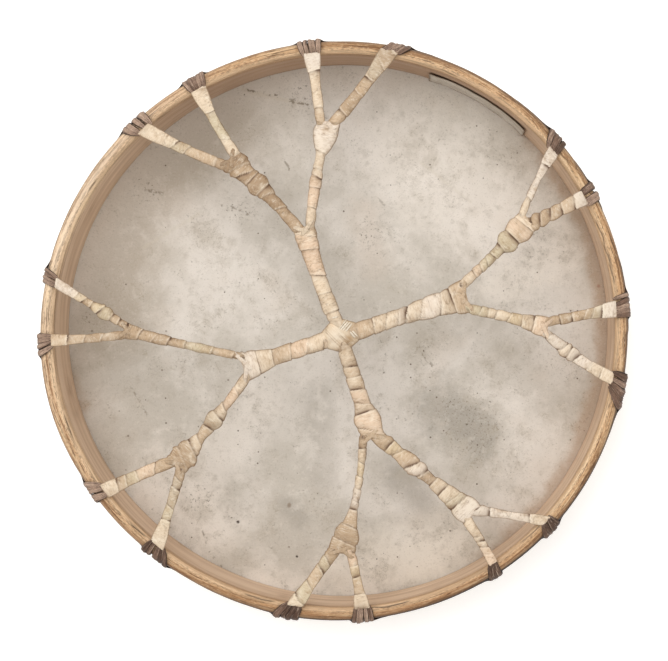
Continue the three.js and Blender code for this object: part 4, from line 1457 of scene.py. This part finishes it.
def lace_strand(tie, index, tone, random):
    """The path of one lace from under the strap's end, over the rim and down to its hole."""
    ridge, hole = tie["ridges"][index], tie["holes"][index]
    radius = float(outline(ridge))
    spacing = (tie["ridges"][-1] - tie["ridges"][0]) / (len(tie["ridges"]) - 1)
    ridge = ridge + random.uniform(-0.12, 0.12) * spacing
    start = tie["start"] - under_strap
    lift = random.uniform(*lift_range) * mm
    bend = back_round + gap_to_wood + lace_half_height + lift
    top = rim_top - back_round
    stops = []
    for outward in np.linspace(start, -back_round, 9)[:-1]:
        sunk = 0.5 * mm * max(0.0, 1 - (outward - start) / (2 * under_strap))
        stops.append((outward, top + bend - sunk, 90, 0))
    for turned in np.linspace(90, 0, 13):
        stops.append((-back_round + bend * math.cos(math.radians(turned)),
                      top + bend * math.sin(math.radians(turned)), turned, 0))
    for share in np.linspace(0, 1, 25)[1:]:
        level = top + (tie["hole_height"] - top) * share
        over_hem = np.clip((top - level) / (top - hem_highest), 0, 1)
        over_hem = over_hem * over_hem * (3 - 2 * over_hem)
        beside_wood = bend - back_round - (lace_half_height + lift - lace_leg_half_height) * min(1, share * 9)
        lap = face_out + gap_to_wood + lace_leg_half_height
        stops.append((beside_wood + (lap - beside_wood) * over_hem, level, 0, share))
    stops.append((face_out + 0.3 * mm, tie["hole_height"] - 0.5 * mm, -35, 1))
    stops.append((face_out - 0.6 * mm, tie["hole_height"] - 0.9 * mm, -70, 1))
    outward, level, tilt, drop = np.array(stops).T
    outward = outward + np.maximum(rim_swell(ridge, outward, level) - 0.3 * mm, 0)
    count = len(stops)
    wander = np.sin(np.linspace(0, random.uniform(3, 7), count) + random.uniform(0, 6)) * 0.16 * spacing
    wander += random.uniform(-0.3, 0.3) * spacing * np.linspace(-1, 1, count)
    squeeze = min(1.0, tie["strap_width"] / (tie["ridges"][-1] - tie["ridges"][0] + spacing))
    inner = tie["strap"] + (ridge - (tie["ridges"][0] + tie["ridges"][-1]) / 2) * squeeze
    inward = np.clip(outward / start, 0, 1)
    angle = ridge + wander * np.clip(1 - drop * 4, 0, 1) + (inner - ridge) * inward + (hole - ridge) * drop
    angle = np.radians(angle)
    out = np.stack([np.cos(angle), np.sin(angle), 0 * angle], -1)
    path = out * (outline(np.degrees(angle)) + outward)[:, None]
    path[:, 2] = level
    tilted = np.radians(tilt)[:, None]
    up = out * np.cos(tilted) + np.array([0, 0, 1.0]) * np.sin(tilted)
    ahead = np.gradient(path, axis=0)
    side = np.cross(up, ahead)
    side /= np.linalg.norm(side, axis=1)[:, None]
    to_leg = np.clip(drop * 9, 0, 1)
    crown_half = math.radians(spacing) * radius / 2 * random.uniform(0.95, 1.35)
    half_width = crown_half + (min(lace_leg_half_width, crown_half) - crown_half) * to_leg
    half_width = half_width * (1 - (1 - squeeze) * inward)
    half_height = lace_half_height * random.uniform(0.85, 1.15)
    half_height = half_height + (lace_leg_half_height - half_height) * to_leg
    closing = np.concatenate([np.linspace(0.45, 1, 6), np.ones(count - 8), [0.8, 0.6]])
    tones = np.full(count, random.uniform(*tone_range) + tone)
    return {"path": path, "axis_side": side, "axis_up": up, "half_width": half_width * closing,
            "half_height": half_height * closing, "relief_share": closing * (1 - 0.7 * to_leg), "tone": tones,
            "shade": np.clip((90 - tilt) / 100, 0, 0.8) ** 2, "strand": np.full(count, float(index))}


for number, tie in enumerate(lashings):
    random = np.random.default_rng(300 + number)
    tone = darker_ties.get(tie["name"][-2:], pale_tie)
    strands = [lace_strand(tie, index, tone, random) for index in range(len(tie["ridges"]))]
    band = make_band("laced_" + tie["name"], strands, lace, {**lace_settings, "Seed": 50 + number})
    finish_piece(band, [tie["name"]])
    if number % 5 == 0:
        print(band.name, len(strands), "laces,", len(band.data.polygons), "faces")

# %% [markdown]
# A small piece of paper is glued inside the hoop. It is bare here. Its sheet follows the wall, curls a
# little at its corners and has browned unevenly.

# %% Paper label
paper, tree, shader = new_material("old_paper", 0.85, 0.2)
place = object_place()
clouds = noise(place, 60, 4, 0.6)
pulp = noise(place, 700, 3, 0.6)
surface = blend(pick(clouds, 0.35, 0.65), (206, 199, 188), (186, 177, 164))
surface = layers(surface, [
    (pulp, 0.52, 0.7, 0.5, (148, 136, 120)), (attribute("worn"), (112, 90, 68)),
])
finish_material(shader, surface, pick(pulp, 0.3, 0.7, 0.8, 0.95), plus(clouds, pulp), 0.3 * mm, 0.5)

label_points = solid_points("paper_label")
label_angles, label_radii = polar(label_points)
from_wall = float((label_radii - outline(label_angles)).max())
paper_thickness = float(np.ptp(label_radii - outline(label_angles)))
columns = np.linspace(label_angles.min(), label_angles.max(), 90)[:, None]
low, high = label_points[:, 2].min(), label_points[:, 2].max()
up_share = np.linspace(0, 1, 40)
shares = np.concatenate([up_share, up_share[::-1]])[None, :]
front = np.concatenate([np.ones(40), np.zeros(40)])[None, :]
edge_x = np.minimum(columns - columns[0], columns[-1] - columns) * math.radians(1) * 0.19
edge_y = np.minimum(shares, 1 - shares) * (high - low)
edge_gap = np.minimum(edge_x, edge_y)
torn = 0.5 * mm * waves(61, 8, columns * 1.1, shares * 4)
corner_curl = 0.75 * mm
curl = corner_curl * np.exp(-np.hypot(edge_x, edge_y) / (5 * mm))
curl = curl + 0.12 * mm * (waves(62, 8, columns / 3, shares * 3) + 1.5)
radial = from_wall - curl - front * 0.8 * paper_thickness
grid = around(columns + torn / mm * 0.12 * (edge_x < 1 * mm), outline(columns) + radial,
              low + (high - low) * shares + torn * (edge_y < 1 * mm))
label = grid_piece("glued_paper", grid, closed_rows=False, caps=True, attributes={
    "worn": np.exp(-(edge_gap / (1.1 * mm)) ** 2) * 0.85 + 0 * columns})
finish_piece(label, ["paper_label"], paper)
print("label", len(label.data.polygons), "faces")
